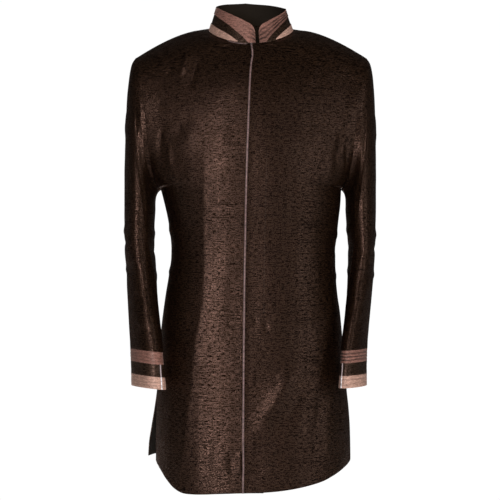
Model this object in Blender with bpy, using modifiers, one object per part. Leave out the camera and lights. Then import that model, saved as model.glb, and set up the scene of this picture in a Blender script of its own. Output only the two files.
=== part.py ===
"""A short sherwani coat, hollow as when worn, in metres with +Z up.

The front faces -Y and the wearer's left is +X. The origin is the middle of the neck opening, at the height of
the two neck points. Every panel is an open sheet worked out from the coat's sizes, made a wall by Solidify.
"""

import math

import bmesh
import bpy
import numpy as np

WALL = 0.0016  # main silk with its backing
TRIM_WALL = 0.0010  # strips and piping that lie on a panel
SEAM_GAP = 0.0003
LAY_GAP = 0.0004
LAID = LAY_GAP + TRIM_WALL  # from a panel's outer face to that of what lies on it
CUFF_GAP = 0.0005
MERGE = 0.00001

UNDERARM_Z = -0.318
SHOULDER_Z = -0.055
SIDE_SEAM_Y = 0.002
NECK_HALF_WIDTH = 0.084
NECK_FRONT_Y = -0.080
NECK_BACK_Y = 0.068
NECK_FRONT_Z = -0.034
NECK_BACK_Z = 0.018
ARMHOLE_FRONT_Y = -0.086
ARMHOLE_BACK_Y = 0.086
NECK_ROW = 0.68  # share of the way up the armhole at which a row reaches the neckline
SECTION_POWER = 2.4
ROW_ROUNDING = 0.3  # keeps a sloping row from making a ridge down the middle
BACK_HEM_Z = -0.850
FRONT_LOWEST_Z = -0.912
SLIT_TOP_Z = -0.700
LAP_DEPTH = WALL + 0.0008
LAP_FADE = 0.045
EDGE_PIPING_WIDTH = 0.0035
NECK_PIPING_WIDTH = 0.0028
NECK_PIPING_START = 0.0016  # from the neck seam
NECK_PIPING_END = 0.0060  # from the middle of the front

FRONT_COLUMNS = 13
BACK_COLUMNS = 22
SKIRT_ROWS = 17
CHEST_ROWS = 8
NECK_ROWS = 6
HEAD_ROWS = 7
ARM_ROWS = 9
CUFF_COLUMNS = 26
SHOULDER_CROWN = 0.0065


def table(names, *rows):
    """Columns of a short table by name, with the first column rising."""
    return dict(zip(names.split(), np.array(sorted(rows), float).T))


def read(columns, name, at):
    """Smooth value of one column at a place along the first column."""
    places = next(iter(columns.values()))
    values = columns[name]
    at = min(max(at, places[0]), places[-1])
    i = min(int(np.searchsorted(places, at, side="right")) - 1, len(places) - 2)
    steps = np.diff(places)
    slopes = np.diff(values) / steps
    tangents = np.empty(len(values))
    tangents[0] = slopes[0]
    tangents[-1] = slopes[-1]
    tangents[1:-1] = np.where(slopes[:-1] * slopes[1:] > 0, (slopes[:-1] + slopes[1:]) / 2, 0)
    s = (at - places[i]) / steps[i]
    return (
        (1 + 2 * s) * (1 - s) ** 2 * values[i]
        + s * (1 - s) ** 2 * steps[i] * tangents[i]
        + s * s * (3 - 2 * s) * values[i + 1]
        - s * s * (1 - s) * steps[i] * tangents[i + 1]
    )


def ease(value):
    """0 below 0, 1 above 1, and a smooth rise between them."""
    value = min(max(value, 0.0), 1.0)
    return value * value * (3 - 2 * value)


# Half-widths to each side of the middle, and how far the front and the back stand off it, by height.
BODY = table(
    "z       right   left    front   back",
    (-0.912, 0.1900, 0.1985, 0.1480, 0.1460),
    (-0.850, 0.1900, 0.1975, 0.1460, 0.1450),
    (-0.780, 0.1890, 0.1945, 0.1420, 0.1430),
    (-0.715, 0.1875, 0.1900, 0.1370, 0.1390),
    (-0.640, 0.1820, 0.1850, 0.1320, 0.1330),
    (-0.574, 0.1770, 0.1790, 0.1260, 0.1260),
    (-0.526, 0.1700, 0.1725, 0.1210, 0.1180),
    (-0.478, 0.1625, 0.1685, 0.1180, 0.1110),
    (-0.446, 0.1590, 0.1680, 0.1180, 0.1080),
    (-0.414, 0.1605, 0.1700, 0.1200, 0.1090),
    (-0.366, 0.1680, 0.1760, 0.1280, 0.1150),
    (-0.318, 0.1800, 0.1800, 0.1350, 0.1230),
    (-0.250, 0.1900, 0.1900, 0.1390, 0.1290),
    (-0.180, 0.2000, 0.2000, 0.1370, 0.1310),
    (-0.110, 0.2000, 0.2000, 0.1240, 0.1240),
    (-0.060, 0.2000, 0.2000, 0.1000, 0.1080),
    (-0.034, 0.2000, 0.2000, 0.0800, 0.0960),
    (0.018, 0.2000, 0.2000, 0.0800, 0.0680),
)

# How far out the armhole seam lies, by height.
ARMHOLE = table(
    "z       out",
    (-0.318, 0.1800),
    (-0.305, 0.1880),
    (-0.270, 0.1965),
    (-0.230, 0.2020),
    (-0.168, 0.2080),
    (-0.116, 0.2180),
    (-0.090, 0.2265),
    (-0.055, 0.2310),
)

# Edges of the left front, on top, and of the right front under it, as places across the middle, by height.
LAP = table(
    "z       over     under",
    (-0.910, -0.0172, 0.0240),
    (-0.620, -0.0157, 0.0240),
    (-0.300, -0.0107, 0.0240),
    (-0.138, -0.0051, 0.0220),
    (-0.034, -0.0013, 0.0040),
)

# The front hem by the share of the way from the middle to the side: its height on each front.
FRONT_HEM = table(
    "share   right   left",
    (-0.15, -0.9050, -0.9050),
    (0.00, -0.9050, -0.9045),
    (0.30, -0.9067, -0.9010),
    (0.60, -0.9095, -0.8910),
    (0.74, -0.9055, -0.8830),
    (0.84, -0.8910, -0.8730),
    (0.92, -0.8725, -0.8640),
    (1.00, -0.8540, -0.8540),
)

# How much further out and back the back stands than the front where the side is slit, at its hem.
BACK_FLARE = {"right": (0.0165, 0.0090), "left": (-0.0040, 0.0080)}

# Middle and half-size of each sleeve, across and from front to back, and how far its back turns out, by height.
SLEEVES = {
    "right": table(
        "z       across  wide    along   deep    turn",
        (-0.722, 0.1985, 0.0315, -0.0960, 0.0490, 0.33),
        (-0.632, 0.2050, 0.0290, -0.0740, 0.0540, 0.30),
        (-0.558, 0.2130, 0.0290, -0.0430, 0.0620, 0.18),
        (-0.510, 0.2165, 0.0300, -0.0230, 0.0670, 0.10),
        (-0.462, 0.2205, 0.0300, -0.0080, 0.0720, 0.04),
        (-0.414, 0.2230, 0.0290, 0.0000, 0.0760, 0.00),
        (-0.360, 0.2220, 0.0305, 0.0020, 0.0810, 0.00),
    ),
    "left": table(
        "z       across  wide    along   deep    turn",
        (-0.722, 0.1970, 0.0255, -0.0980, 0.0510, 0.31),
        (-0.632, 0.2025, 0.0225, -0.0760, 0.0550, 0.28),
        (-0.574, 0.2100, 0.0230, -0.0490, 0.0610, 0.20),
        (-0.526, 0.2150, 0.0250, -0.0280, 0.0660, 0.10),
        (-0.478, 0.2190, 0.0260, -0.0110, 0.0720, 0.04),
        (-0.430, 0.2210, 0.0270, -0.0010, 0.0760, 0.00),
        (-0.360, 0.2200, 0.0300, 0.0020, 0.0810, 0.00),
    ),
}
SLEEVE_TOP_Z = -0.360
BACK_SEAM_ROW = 7  # row of the back at which the sleeve's back seam meets the armhole
CUFF_TOP_Z = -0.631
CUFF_LEAN = {"right": 0.0060, "left": 0.0020}  # how much lower the inner side of a cuff hangs
UNDERARM_EASE = 0.0007  # how much wider the armhole seam opens under the arm
HEAD_BULGE = 0.022  # length of the straight run of the sleeve head out of the armhole

# Angle round a sleeve, 90 outside, 180 in front and 270 inside, of the seams of its two pieces.
SLEEVE_SEAMS = table(
    "z       front   back",
    (-0.722, 228.0, -22.0),
    (-0.670, 232.0, -20.0),
    (-0.600, 245.0, -16.0),
    (-0.540, 244.0, -12.0),
    (-0.470, 230.0, -8.0),
    (-0.400, 208.0, -4.0),
    (-0.318, 190.0, 0.0),
    (-0.200, 168.0, 6.0),
    (-0.110, 148.0, 12.0),
)

# Soft folds across the sleeves: middle, half-height, half-angle and rise.
SLEEVE_FOLDS = (
    ("right", -0.425, 205.0, 0.014, 45.0, 0.0030),
    ("right", -0.480, 120.0, 0.015, 45.0, -0.0026),
    ("right", -0.565, 170.0, 0.014, 50.0, 0.0026),
    ("left", -0.410, 160.0, 0.014, 45.0, 0.0028),
    ("left", -0.490, 200.0, 0.015, 45.0, -0.0026),
    ("left", -0.560, 150.0, 0.014, 50.0, 0.0026),
)

# Length of each cuff band along the sleeve, from the top one down.
CUFF_BANDS = (("upper", 0.0240), ("middle", 0.0240), ("lower", 0.0235))
CUFF_PIPING_WIDTH = 0.0040
CUFF_PIPING_START = 0.0030  # from the first column of the cuff in front of its seam

# Top edge of the collar by the angle from its front opening: height, and how far out and forward it is.
COLLAR_TOP = table(
    "angle   z       out     along",
    (0.0, 0.0030, 0.0690, -0.0710),
    (8.5, 0.0050, 0.0690, -0.0710),
    (16.0, 0.0095, 0.0690, -0.0705),
    (27.0, 0.0165, 0.0690, -0.0700),
    (55.0, 0.0320, 0.0690, -0.0680),
    (80.0, 0.0430, 0.0690, -0.0650),
    (99.0, 0.0475, 0.0690, -0.0630),
    (140.0, 0.0580, 0.0690, -0.0600),
    (180.0, 0.0630, 0.0690, -0.0590),
)
COLLAR_OPENING = 8.75  # degrees from the middle of the front to the middle of the opening
COLLAR_HALF_GAP = 2.75
COLLAR_CORNER = 9.0  # degrees over which a front corner rounds down
COLLAR_CORNER_DROP = 0.45

# Lower edge of the collar's top strip and upper edge of its bottom strip, as shares of the band's height,
# by the angle from the opening.
COLLAR_STRIPS = table(
    "angle   top     bottom",
    (0.0, -0.45, -0.90),
    (11.5, 0.00, -0.55),
    (17.0, 0.19, -0.24),
    (24.0, 0.35, 0.00),
    (33.0, 0.47, 0.15),
    (42.0, 0.57, 0.24),
    (64.0, 0.67, 0.31),
    (95.0, 0.72, 0.33),
    (180.0, 0.74, 0.34),
)
BOTTOM_STRIP_START = 27.0
STRIP_FOOT = 0.02  # share of the band's height that shows below a strip at the neck seam
COLLAR_CORNER_ANGLES = (1.2, 3.2, 6.0)

# Large soft folds on the fronts and the back: ends as seen from the front, half-width and height.
FOLDS = (
    ("front", (0.008, -0.790), (0.088, -0.676), 0.017, 0.0030),
    ("front", (-0.176, -0.612), (-0.100, -0.630), 0.014, 0.0026),
    ("front", (0.030, -0.582), (0.158, -0.562), 0.014, 0.0026),
    ("front", (0.090, -0.366), (0.160, -0.380), 0.015, -0.0028),
    ("front", (-0.150, -0.205), (-0.046, -0.214), 0.016, 0.0022),
    ("front", (0.082, -0.206), (0.176, -0.220), 0.016, 0.0022),
    ("front", (-0.124, -0.046), (-0.142, -0.096), 0.013, 0.0026),
    ("front", (0.146, -0.058), (0.166, -0.094), 0.013, 0.0026),
    ("back", (-0.140, -0.400), (-0.030, -0.425), 0.017, 0.0028),
    ("back", (0.150, -0.395), (0.040, -0.440), 0.017, -0.0028),
    ("back", (-0.120, -0.610), (0.060, -0.640), 0.018, 0.0026),
    ("back", (0.060, -0.150), (0.150, -0.240), 0.018, 0.0026),
    ("back", (-0.070, -0.140), (-0.160, -0.250), 0.018, 0.0026),
)


def fold_height(where, x, z):
    """How far the large folds lift the cloth off its form at one place."""
    height = 0.0
    for on, start, end, half_width, rise in FOLDS:
        if on != where:
            continue
        run = np.subtract(end, start)
        length = math.hypot(*run)
        share = float(np.dot(np.subtract((x, z), start), run)) / length**2
        off = abs(run[0] * (z - start[1]) - run[1] * (x - start[0])) / length
        ends = ease((share + 0.25) / 0.35) * ease((1.25 - share) / 0.35)
        height += rise * ends * math.exp(-((off / half_width) ** 2))
    return height


def armhole(side, angle):
    """Point of the armhole seam: 90 degrees at the shoulder, 180 in front, 270 under the arm."""
    turn = math.radians(angle)
    middle = (UNDERARM_Z + SHOULDER_Z) / 2
    half = (SHOULDER_Z - UNDERARM_Z) / 2
    z = middle + half * math.sin(turn)
    reach = ARMHOLE_BACK_Y if math.cos(turn) > 0 else -ARMHOLE_FRONT_Y
    y = SIDE_SEAM_Y + reach * math.cos(turn)
    return np.array((side * read(ARMHOLE, "out", z), y, z))


def neckline(angle):
    """Point of the neck seam, by the angle from the middle of the front towards the wearer's left."""
    turn = math.radians(angle)
    ahead = math.cos(turn)
    across = NECK_HALF_WIDTH * math.sin(turn)
    if ahead > 0:
        return np.array((across, NECK_FRONT_Y * ahead, NECK_FRONT_Z * ahead**1.3))
    return np.array((across, NECK_BACK_Y * -ahead, NECK_BACK_Z * (-ahead) ** 1.3))


def body_row(where, side, level):
    """The middle and the outer end of one row: level -1 is the hem, 0 the underarm and 1 the shoulder seam."""
    depth = "front" if where == "front" else "back"
    facing = -1 if where == "front" else 1
    half = "left" if side > 0 else "right"
    if level <= 0:
        bottom = FRONT_LOWEST_Z if where == "front" else BACK_HEM_Z
        z = UNDERARM_Z + (UNDERARM_Z - bottom) * level
        middle = np.array((0.0, facing * read(BODY, depth, z), z))
        end = np.array((side * read(BODY, half, z), SIDE_SEAM_Y, z))
        return middle, end
    angle = 270 - 180 * level if where == "front" else -90 + 180 * level
    end = armhole(side, angle)
    neck = neckline(0 if where == "front" else 180)
    if level < NECK_ROW:
        z = UNDERARM_Z + (neck[2] - UNDERARM_Z) * level / NECK_ROW
        return np.array((0.0, facing * read(BODY, depth, z), z)), end
    share = (level - NECK_ROW) / (1 - NECK_ROW)
    turn = 90 * share if where == "front" else 180 - 90 * share
    middle = neckline(side * turn)
    return middle, end


def body_point(where, side, level, across):
    """A point of the torso's form: across is 0 at the middle or the neckline and 1 at the side or the armhole."""
    middle, end = body_row(where, side, level)
    reach = min(abs(across), 1.0)
    round_end = (1 - reach**SECTION_POWER) ** (1 / SECTION_POWER)
    flat_end = 1 - reach**2
    blend = ease(level / 0.45)
    bulge = (1 - blend) * round_end + blend * flat_end
    x = middle[0] + (end[0] - middle[0]) * across
    y = end[1] + (middle[1] - end[1]) * bulge
    slope = (math.hypot(reach, ROW_ROUNDING) - ROW_ROUNDING) / (math.hypot(1, ROW_ROUNDING) - ROW_ROUNDING)
    z = middle[2] + (end[2] - middle[2]) * slope
    crown = 4 * max(across, 0.0) * max(1 - across, 0.0) * ease((level - 0.6) / 0.4)
    return np.array((x, y, z + SHOULDER_CROWN * crown))


def spread_row(where, side, level, start, count):
    """Points spaced evenly along one row, from a place across the middle to its outer end."""
    middle, end = body_row(where, side, level)
    first = (start - middle[0]) / (end[0] - middle[0])
    dense = np.linspace(0, 1, 121)
    shares = first + (1 - first) * (1 - (1 - dense) ** 2)
    line = np.array([body_point(where, side, level, share) for share in shares])
    lengths = np.concatenate([[0], np.cumsum(np.linalg.norm(np.diff(line, axis=0), axis=1))])
    wanted = np.linspace(0, lengths[-1], count + 1)
    return np.column_stack([np.interp(wanted, lengths, line[:, k]) for k in range(3)])


def normals_of(grid):
    """Unit normals of a grid of points, by its rows and columns."""
    along = np.gradient(grid, axis=1)
    up = np.gradient(grid, axis=0)
    normals = np.cross(along, up)
    return normals / np.linalg.norm(normals, axis=2, keepdims=True)


def seam_normals(grid, sides):
    """Normals of a panel, with those at its side seams and its shoulder square to the seam, so its edges butt."""
    normals = normals_of(grid)
    for column in sides:
        normals[:SKIRT_ROWS, column, 1] = 0
    normals[-1, :, 1] = 0
    return normals / np.linalg.norm(normals, axis=2, keepdims=True)


def yoke_levels(finer=1):
    """Levels of the rows from the underarm to the shoulder, with one at the bottom of the neckline."""
    chest = np.linspace(0, NECK_ROW, CHEST_ROWS * finer + 1)
    beside_neck = np.linspace(NECK_ROW, 1, NECK_ROWS * finer + 1)
    return np.concatenate([chest, beside_neck[1:]])


def levels_of(finer=1):
    """Levels of all the rows of a front or the back."""
    skirt = np.linspace(-1, 0, SKIRT_ROWS * finer + 1)
    return np.concatenate([skirt[:-1], yoke_levels(finer)])


def front_grid(side, finer=1):
    """Outer points of one front, from the wearer's right to the left, from the hem to the shoulder."""
    half = "left" if side > 0 else "right"
    columns = FRONT_COLUMNS * finer
    rows = []
    for level in levels_of(finer):
        middle, end = body_row("front", side, level)
        start = read(LAP, "over" if side > 0 else "under", middle[2])
        if level > NECK_ROW:
            start = middle[0]
        row = spread_row("front", side, level, start, columns)
        hem_fade = ease((-level - 0.55) / 0.45)
        for point in row:
            hem = read(FRONT_HEM, half, point[0] / end[0])
            point[2] += (hem - FRONT_LOWEST_Z) * hem_fade
        rows.append(row if side > 0 else row[::-1])
    grid = np.array(rows)
    normals = normals_of(grid)
    for i, j in np.ndindex(grid.shape[:2]):
        x, _, z = grid[i, j]
        lift = fold_height("front", x, z)
        if side < 0:
            under = ease(1.12 + (x - read(LAP, "over", z)) / LAP_FADE)
            lift += under * (-LAP_DEPTH - lift)
        grid[i, j] += normals[i, j] * lift
    outer = -1 if side > 0 else 0
    grid[:, outer, 1] -= SEAM_GAP / 2
    grid[-1, :, 1] -= SEAM_GAP / 2
    return grid, seam_normals(grid, [outer])


def back_grid(finer=1):
    """Outer points of the back, from the wearer's left to the right. The two middle columns part at the neck."""
    columns = BACK_COLUMNS * finer
    rows = []
    levels = levels_of(finer)
    for level in levels:
        halves = []
        for side, half in ((1, "left"), (-1, "right")):
            middle, _ = body_row("back", side, level)
            row = spread_row("back", side, level, middle[0], columns // 2)
            out, behind = BACK_FLARE[half]
            for k, point in enumerate(row):
                slit = ease((SLIT_TOP_Z - point[2]) / (SLIT_TOP_Z - BACK_HEM_Z))
                share = slit * (k * 2 / columns) ** 3
                point += np.array((side * out, behind, 0)) * share
            halves.append(row)
        rows.append(np.concatenate([halves[0][::-1], halves[1]]))
    grid = np.array(rows)
    normals = normals_of(grid)
    for i, j in np.ndindex(grid.shape[:2]):
        grid[i, j] += normals[i, j] * fold_height("back", grid[i, j, 0], grid[i, j, 2])
    middle = columns // 2
    joined = levels <= NECK_ROW
    meeting = (grid[joined, middle] + grid[joined, middle + 1]) / 2
    grid[joined, middle] = meeting
    grid[joined, middle + 1] = meeting
    grid[:, 0, 1] += SEAM_GAP / 2
    grid[:, -1, 1] += SEAM_GAP / 2
    grid[-1, :, 1] += SEAM_GAP / 2
    normals = seam_normals(grid, [0, -1])
    shared = normals[joined, middle] + normals[joined, middle + 1]
    shared /= np.linalg.norm(shared, axis=1, keepdims=True)
    normals[joined, middle] = shared
    normals[joined, middle + 1] = shared
    return grid, normals


def sleeve_ring(half, z, angle):
    """Point of a sleeve below its head."""
    side = 1 if half == "left" else -1
    turn = math.radians(angle)
    columns = SLEEVES[half]
    wide = read(columns, "wide", z)
    deep = read(columns, "deep", z)
    lift = 0.0
    for on, fold_z, fold_angle, half_height, half_angle, rise in SLEEVE_FOLDS:
        if on == half:
            off = math.remainder(angle - fold_angle, 360) / half_angle
            lift += rise * math.exp(-(off**2) - ((z - fold_z) / half_height) ** 2)
    back = (deep + lift) * math.cos(turn)
    out = (wide + lift) * math.sin(turn) + read(columns, "turn", z) * back
    return np.array((side * (read(columns, "across", z) + out), read(columns, "along", z) + back, z))


def sleeve_head(half, share, angle):
    """Point of a sleeve's head: share is 0 at the armhole and 1 where the arm hangs clear."""
    side = 1 if half == "left" else -1
    angle = (angle + 90) % 360 - 90
    where = "front" if angle > 90 else "back"
    level = (270 - angle) / 180 if where == "front" else (angle + 90) / 180
    level = min(max(level, 0.0), 1.0)
    seam = armhole(side, angle)
    panel = seam - body_point(where, side, level, 0.97)
    panel /= np.linalg.norm(panel)
    upper = ease((math.sin(math.radians(angle)) + 0.5) / 1.2)
    away = upper * panel + (1 - upper) * np.array((side * 0.85, 0.0, -0.5))
    away /= np.linalg.norm(away)
    end = sleeve_ring(half, SLEEVE_TOP_Z, angle)
    run = np.linalg.norm(end - seam)
    first = seam + away * (SEAM_GAP + UNDERARM_EASE * (1 - upper))
    second = first + away * min(HEAD_BULGE, 0.3 * run)
    third = end + np.array((0, 0, 0.5 * run))
    weights = (1 - share) ** 3, 3 * share * (1 - share) ** 2, 3 * share**2 * (1 - share), share**3
    return weights[0] * first + weights[1] * second + weights[2] * third + weights[3] * end


def sleeve_bottom(half, angle, below=0.0):
    """Height of the sleeve's lower edge, or of a line this far below it."""
    inward = (1 - math.sin(math.radians(angle))) / 2
    return CUFF_TOP_Z - CUFF_LEAN[half] * inward - below


def sleeve_point(half, share, angle):
    """Point of a sleeve: share is 0 at the armhole, 1 at the end of the head and 2 at the lower edge."""
    if share <= 1:
        return sleeve_head(half, share, angle)
    bottom = sleeve_bottom(half, angle)
    return sleeve_ring(half, SLEEVE_TOP_Z + (bottom - SLEEVE_TOP_Z) * (share - 1), angle)


def armhole_angles(piece, finer=1):
    """Angles at which the rows of the fronts and the back reach the armhole, along one piece of the sleeve."""
    levels = yoke_levels(finer)
    back = -90 + 180 * levels
    front = (270 - 180 * levels)[::-1]
    angles = np.concatenate([back, front[1:]])
    from_seam = BACK_SEAM_ROW * finer
    to_seam = len(angles) - 1 - CHEST_ROWS * finer
    if piece == "top":
        return angles[from_seam : to_seam + 1]
    return np.concatenate([angles[to_seam:], angles[1 : from_seam + 1] + 360])


def sleeve_grid(half, piece, finer=1):
    """Outer points of the top sleeve or the under sleeve, from its lower edge to the armhole."""
    at_armhole = armhole_angles(piece, finer)
    head = np.linspace(0, 1, HEAD_ROWS * finer + 1)
    arm = np.linspace(1, 2, ARM_ROWS * finer + 1)
    rows = []
    for share in np.concatenate([head, arm[1:]])[::-1]:
        z = sleeve_point(half, share, 180)[2]
        front = read(SLEEVE_SEAMS, "front", z)
        back = read(SLEEVE_SEAMS, "back", z)
        first, last = (back, front) if piece == "top" else (front, back + 360)
        even = np.linspace(first, last, len(at_armhole))
        blend = ease(share * 1.4)
        angles = at_armhole + (even - at_armhole) * blend
        for end, inward in ((0, 1), (-1, -1)):
            here = sleeve_point(half, share, angles[end])
            near = sleeve_point(half, share, angles[end] + inward)
            angles[end] += inward * SEAM_GAP / 2 / np.linalg.norm(near - here)
        past = 2 * angles[[0, -1]] - angles[[1, -2]]
        angles = np.concatenate([past[:1], angles, past[1:]])
        rows.append([sleeve_point(half, share, angle) for angle in angles])
    grid = np.array(rows)
    if half == "left":
        grid = grid[:, ::-1]
    return grid[:, 1:-1], normals_of(grid)[:, 1:-1]


def cuff_line(half, below, columns=CUFF_COLUMNS):
    """Points round a cuff this far below the sleeve, from the front seam on."""
    angles = SLEEVE_SEAMS["front"][0] + np.arange(columns) * 360 / columns
    line = [sleeve_ring(half, sleeve_bottom(half, angle, below), angle) for angle in angles]
    return line if half == "right" else line[::-1]


def cuff_grid(half, band):
    """Outer points of one cuff band, all round, from its lower edge up."""
    names = [name for name, _ in CUFF_BANDS]
    lengths = [length for _, length in CUFF_BANDS]
    k = names.index(band)
    top = CUFF_GAP + sum(lengths[:k])
    return np.array([cuff_line(half, top + lengths[k] - SEAM_GAP), cuff_line(half, top)])


def cuff_piping(half):
    """Outer points of the piping on a cuff, in front of its seam, over its two lower bands."""
    lengths = [length for _, length in CUFF_BANDS]
    heights = [CUFF_GAP + sum(lengths[:k]) for k in (3, 2, 1)]
    heights[0] -= SEAM_GAP
    lines = np.array([cuff_line(half, below) for below in heights])
    near, far = (-1, -2) if half == "right" else (0, 1)
    run = lines[:, far] - lines[:, near]
    run /= np.linalg.norm(run, axis=1, keepdims=True)
    edges = [lines[:, near] + run * CUFF_PIPING_START]
    edges.append(edges[0] + run * CUFF_PIPING_WIDTH)
    return moved_out(np.stack(edges[::-1] if half == "right" else edges, axis=1), LAID)


def collar_point(angle, share):
    """A point of the collar: the angle runs from the middle of the front to the wearer's left, share goes up."""
    turn = math.radians(angle)
    from_opening = abs(math.remainder(angle - COLLAR_OPENING, 360))
    step = 90 / NECK_ROWS
    before = math.floor(angle / step) * step
    between = (angle - before) / step
    base = neckline(before) * (1 - between) + neckline(before + step) * between
    base[2] += SEAM_GAP
    out = read(COLLAR_TOP, "out", from_opening)
    along = read(COLLAR_TOP, "along", from_opening)
    top = np.array((out * math.sin(turn), along * math.cos(turn), read(COLLAR_TOP, "z", from_opening)))
    corner = 1 - min((from_opening - COLLAR_HALF_GAP) / COLLAR_CORNER, 1.0)
    height = 1 - COLLAR_CORNER_DROP * (1 - math.sqrt(max(1 - corner**2, 0.0)))
    return base + (top - base) * share * height


def collar_angles(from_opening):
    """Angles round the collar, from and to this far from its opening, with those of the panels' neck points."""
    first = COLLAR_OPENING + from_opening
    last = COLLAR_OPENING + 360 - from_opening
    step = 90 / NECK_ROWS
    panels = np.arange(0, 361, step)
    panels = panels[(panels > first + 1) & (panels < last - 1)]
    ends = [first, last]
    for extra in COLLAR_CORNER_ANGLES:
        ends += [first + extra, last - extra]
    return np.unique(np.concatenate([ends, panels]))


def collar_grid(from_opening=COLLAR_HALF_GAP, low=None, high=None):
    """Outer points of the band, or of the part of it above or below a line of the strips' table."""
    lines = []
    for angle in collar_angles(from_opening):
        place = abs(math.remainder(angle - COLLAR_OPENING, 360))
        bottom = STRIP_FOOT if low or high else 0.0
        if low:
            bottom = max(read(COLLAR_STRIPS, low, place), bottom)
        top = read(COLLAR_STRIPS, high, place) if high else 1.0
        lines.append((collar_point(angle, bottom), collar_point(angle, top)))
    return np.array(lines).swapaxes(0, 1)


def moved_out(grid, by):
    """The same points, moved out along their normals."""
    return grid + normals_of(grid) * by


def sheet(name, grid, wall, material, closed=False):
    """A wall made from a grid of outer points: closed joins its two sides."""
    rows, columns = grid.shape[:2]
    faces = []
    for i in range(rows - 1):
        for j in range(columns if closed else columns - 1):
            k = (j + 1) % columns
            faces.append((i * columns + j, i * columns + k, (i + 1) * columns + k, (i + 1) * columns + j))
    mesh = bpy.data.meshes.new(name)
    mesh.from_pydata(grid.reshape(-1, 3).tolist(), [], faces)
    mesh.materials.append(material)
    obj = bpy.data.objects.new(name, mesh)
    coat.objects.link(obj)
    solid = obj.modifiers.new("Wall", "SOLIDIFY")
    solid.thickness = wall
    solid.offset = -1
    mesh.shade_smooth()
    return obj


def mitred_wall(name, grid, normals, material, parted=None):
    """A wall like that of sheet, but with its thickness along given normals, so that edges meet at a seam."""
    rows, columns = grid.shape[:2]
    inner = rows * columns
    number = np.arange(inner).reshape(rows, columns)
    if parted is not None:
        same = np.linalg.norm(grid[:, parted] - grid[:, parted + 1], axis=1) < MERGE
        number[same, parted + 1] = number[same, parted]
    faces = []
    for i in range(rows - 1):
        for j in range(columns - 1):
            if j != parted:
                faces.append((number[i, j], number[i, j + 1], number[i + 1, j + 1], number[i + 1, j]))
    sides = {}
    for face in faces:
        for a, b in zip(face, face[1:] + face[:1]):
            sides[a, b] = 1
    points = np.concatenate([grid.reshape(-1, 3), (grid - normals * WALL).reshape(-1, 3)])
    rim = []
    for a, b in sides:
        if (b, a) in sides:
            continue
        # Both pieces of a seam split their edge the same way, from the lower outer point to the upper inner one.
        if points[a, 2] < points[b, 2]:
            rim += [(b, a, b + inner), (a, a + inner, b + inner)]
        else:
            rim += [(b, a, a + inner), (b, a + inner, b + inner)]
    inside = [tuple(k + inner for k in reversed(face)) for face in faces]
    mesh = bpy.data.meshes.new(name)
    mesh.from_pydata(points.tolist(), [], faces + inside + rim)
    mesh.materials.append(material)
    loose = bmesh.new()
    loose.from_mesh(mesh)
    bmesh.ops.delete(loose, geom=[v for v in loose.verts if not v.link_faces], context="VERTS")
    loose.to_mesh(mesh)
    loose.free()
    obj = bpy.data.objects.new(name, mesh)
    coat.objects.link(obj)
    mesh.shade_smooth()
    return obj


def share_armhole_normals(half, panels, sleeves):
    """Makes the panels and the sleeve use one normal at each point of an armhole seam.

    A panel is its normals, its outer column and the angles of its rows from the underarm up. A sleeve piece is
    its normals and the angles of its columns.
    """
    found = {}
    places = []
    for normals, column, angles in panels:
        for k, angle in enumerate(angles):
            places.append((round(angle % 360, 3), normals, (SKIRT_ROWS + k, column)))
    for normals, angles in sleeves:
        for k, angle in enumerate(angles):
            column = k if half == "right" else -1 - k
            places.append((round(angle % 360, 3), normals, (-1, column)))
    for key, normals, place in places:
        found[key] = found.get(key, 0) + normals[place]
    for key, normals, place in places:
        normals[place] = found[key] / np.linalg.norm(found[key])


def share_sleeve_normals(half, top, under):
    """Makes the two pieces of a sleeve use one normal at each point of their seams."""
    first, last = (0, -1) if half == "right" else (-1, 0)
    for a, b in ((first, last), (last, first)):
        shared = top[:, a] + under[:, b]
        shared /= np.linalg.norm(shared, axis=1, keepdims=True)
        top[:, a] = shared
        under[:, b] = shared


def front_piping_grid():
    """Outer points of the piping along the lapping edge of the left front."""
    grid = fronts["left"][0][: SKIRT_ROWS + CHEST_ROWS + 1]
    grid = moved_out(grid, LAID)
    run = grid[:, 1] - grid[:, 0]
    run /= np.linalg.norm(run, axis=1, keepdims=True)
    return np.stack((grid[:, 0], grid[:, 0] + run * EDGE_PIPING_WIDTH), axis=1)


def neck_piping_grid():
    """Outer points of the piping below the neck seam of the right front, up to the lapping edge."""
    rows = fronts["right"][0][SKIRT_ROWS + CHEST_ROWS :][:3, -2:]
    share = (rows[0, 1, 0] + NECK_PIPING_END) / (rows[0, 1, 0] - rows[1, 1, 0])
    rows[0] = rows[0] * (1 - share) + rows[1] * share
    run = rows[:, 0] - rows[:, 1]
    run /= np.linalg.norm(run, axis=1, keepdims=True)
    edge = rows[:, 1] + run * NECK_PIPING_START
    return moved_out(np.stack((edge + run * NECK_PIPING_WIDTH, edge), axis=1), LAID)


def make_material(name, colour, roughness):
    """A plain material with this colour and roughness."""
    material = bpy.data.materials.new(name)
    material.use_nodes = True
    shader = material.node_tree.nodes["Principled BSDF"]
    shader.inputs["Base Color"].default_value = (*colour, 1)
    shader.inputs["Roughness"].default_value = roughness
    shader.inputs["Metallic"].default_value = 0
    return material


for old in list(bpy.data.objects):
    bpy.data.objects.remove(old, do_unlink=True)
coat = bpy.data.collections.new("sherwani_coat")
bpy.context.scene.collection.children.link(coat)

brown = make_material("brown_silk", (0.060, 0.036, 0.034), 0.5)
rose = make_material("rose_silk", (0.230, 0.130, 0.115), 0.5)
pale_rose = make_material("pale_rose_silk", (0.400, 0.270, 0.240), 0.5)
mauve = make_material("mauve_piping", (0.420, 0.340, 0.350), 0.5)

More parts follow.
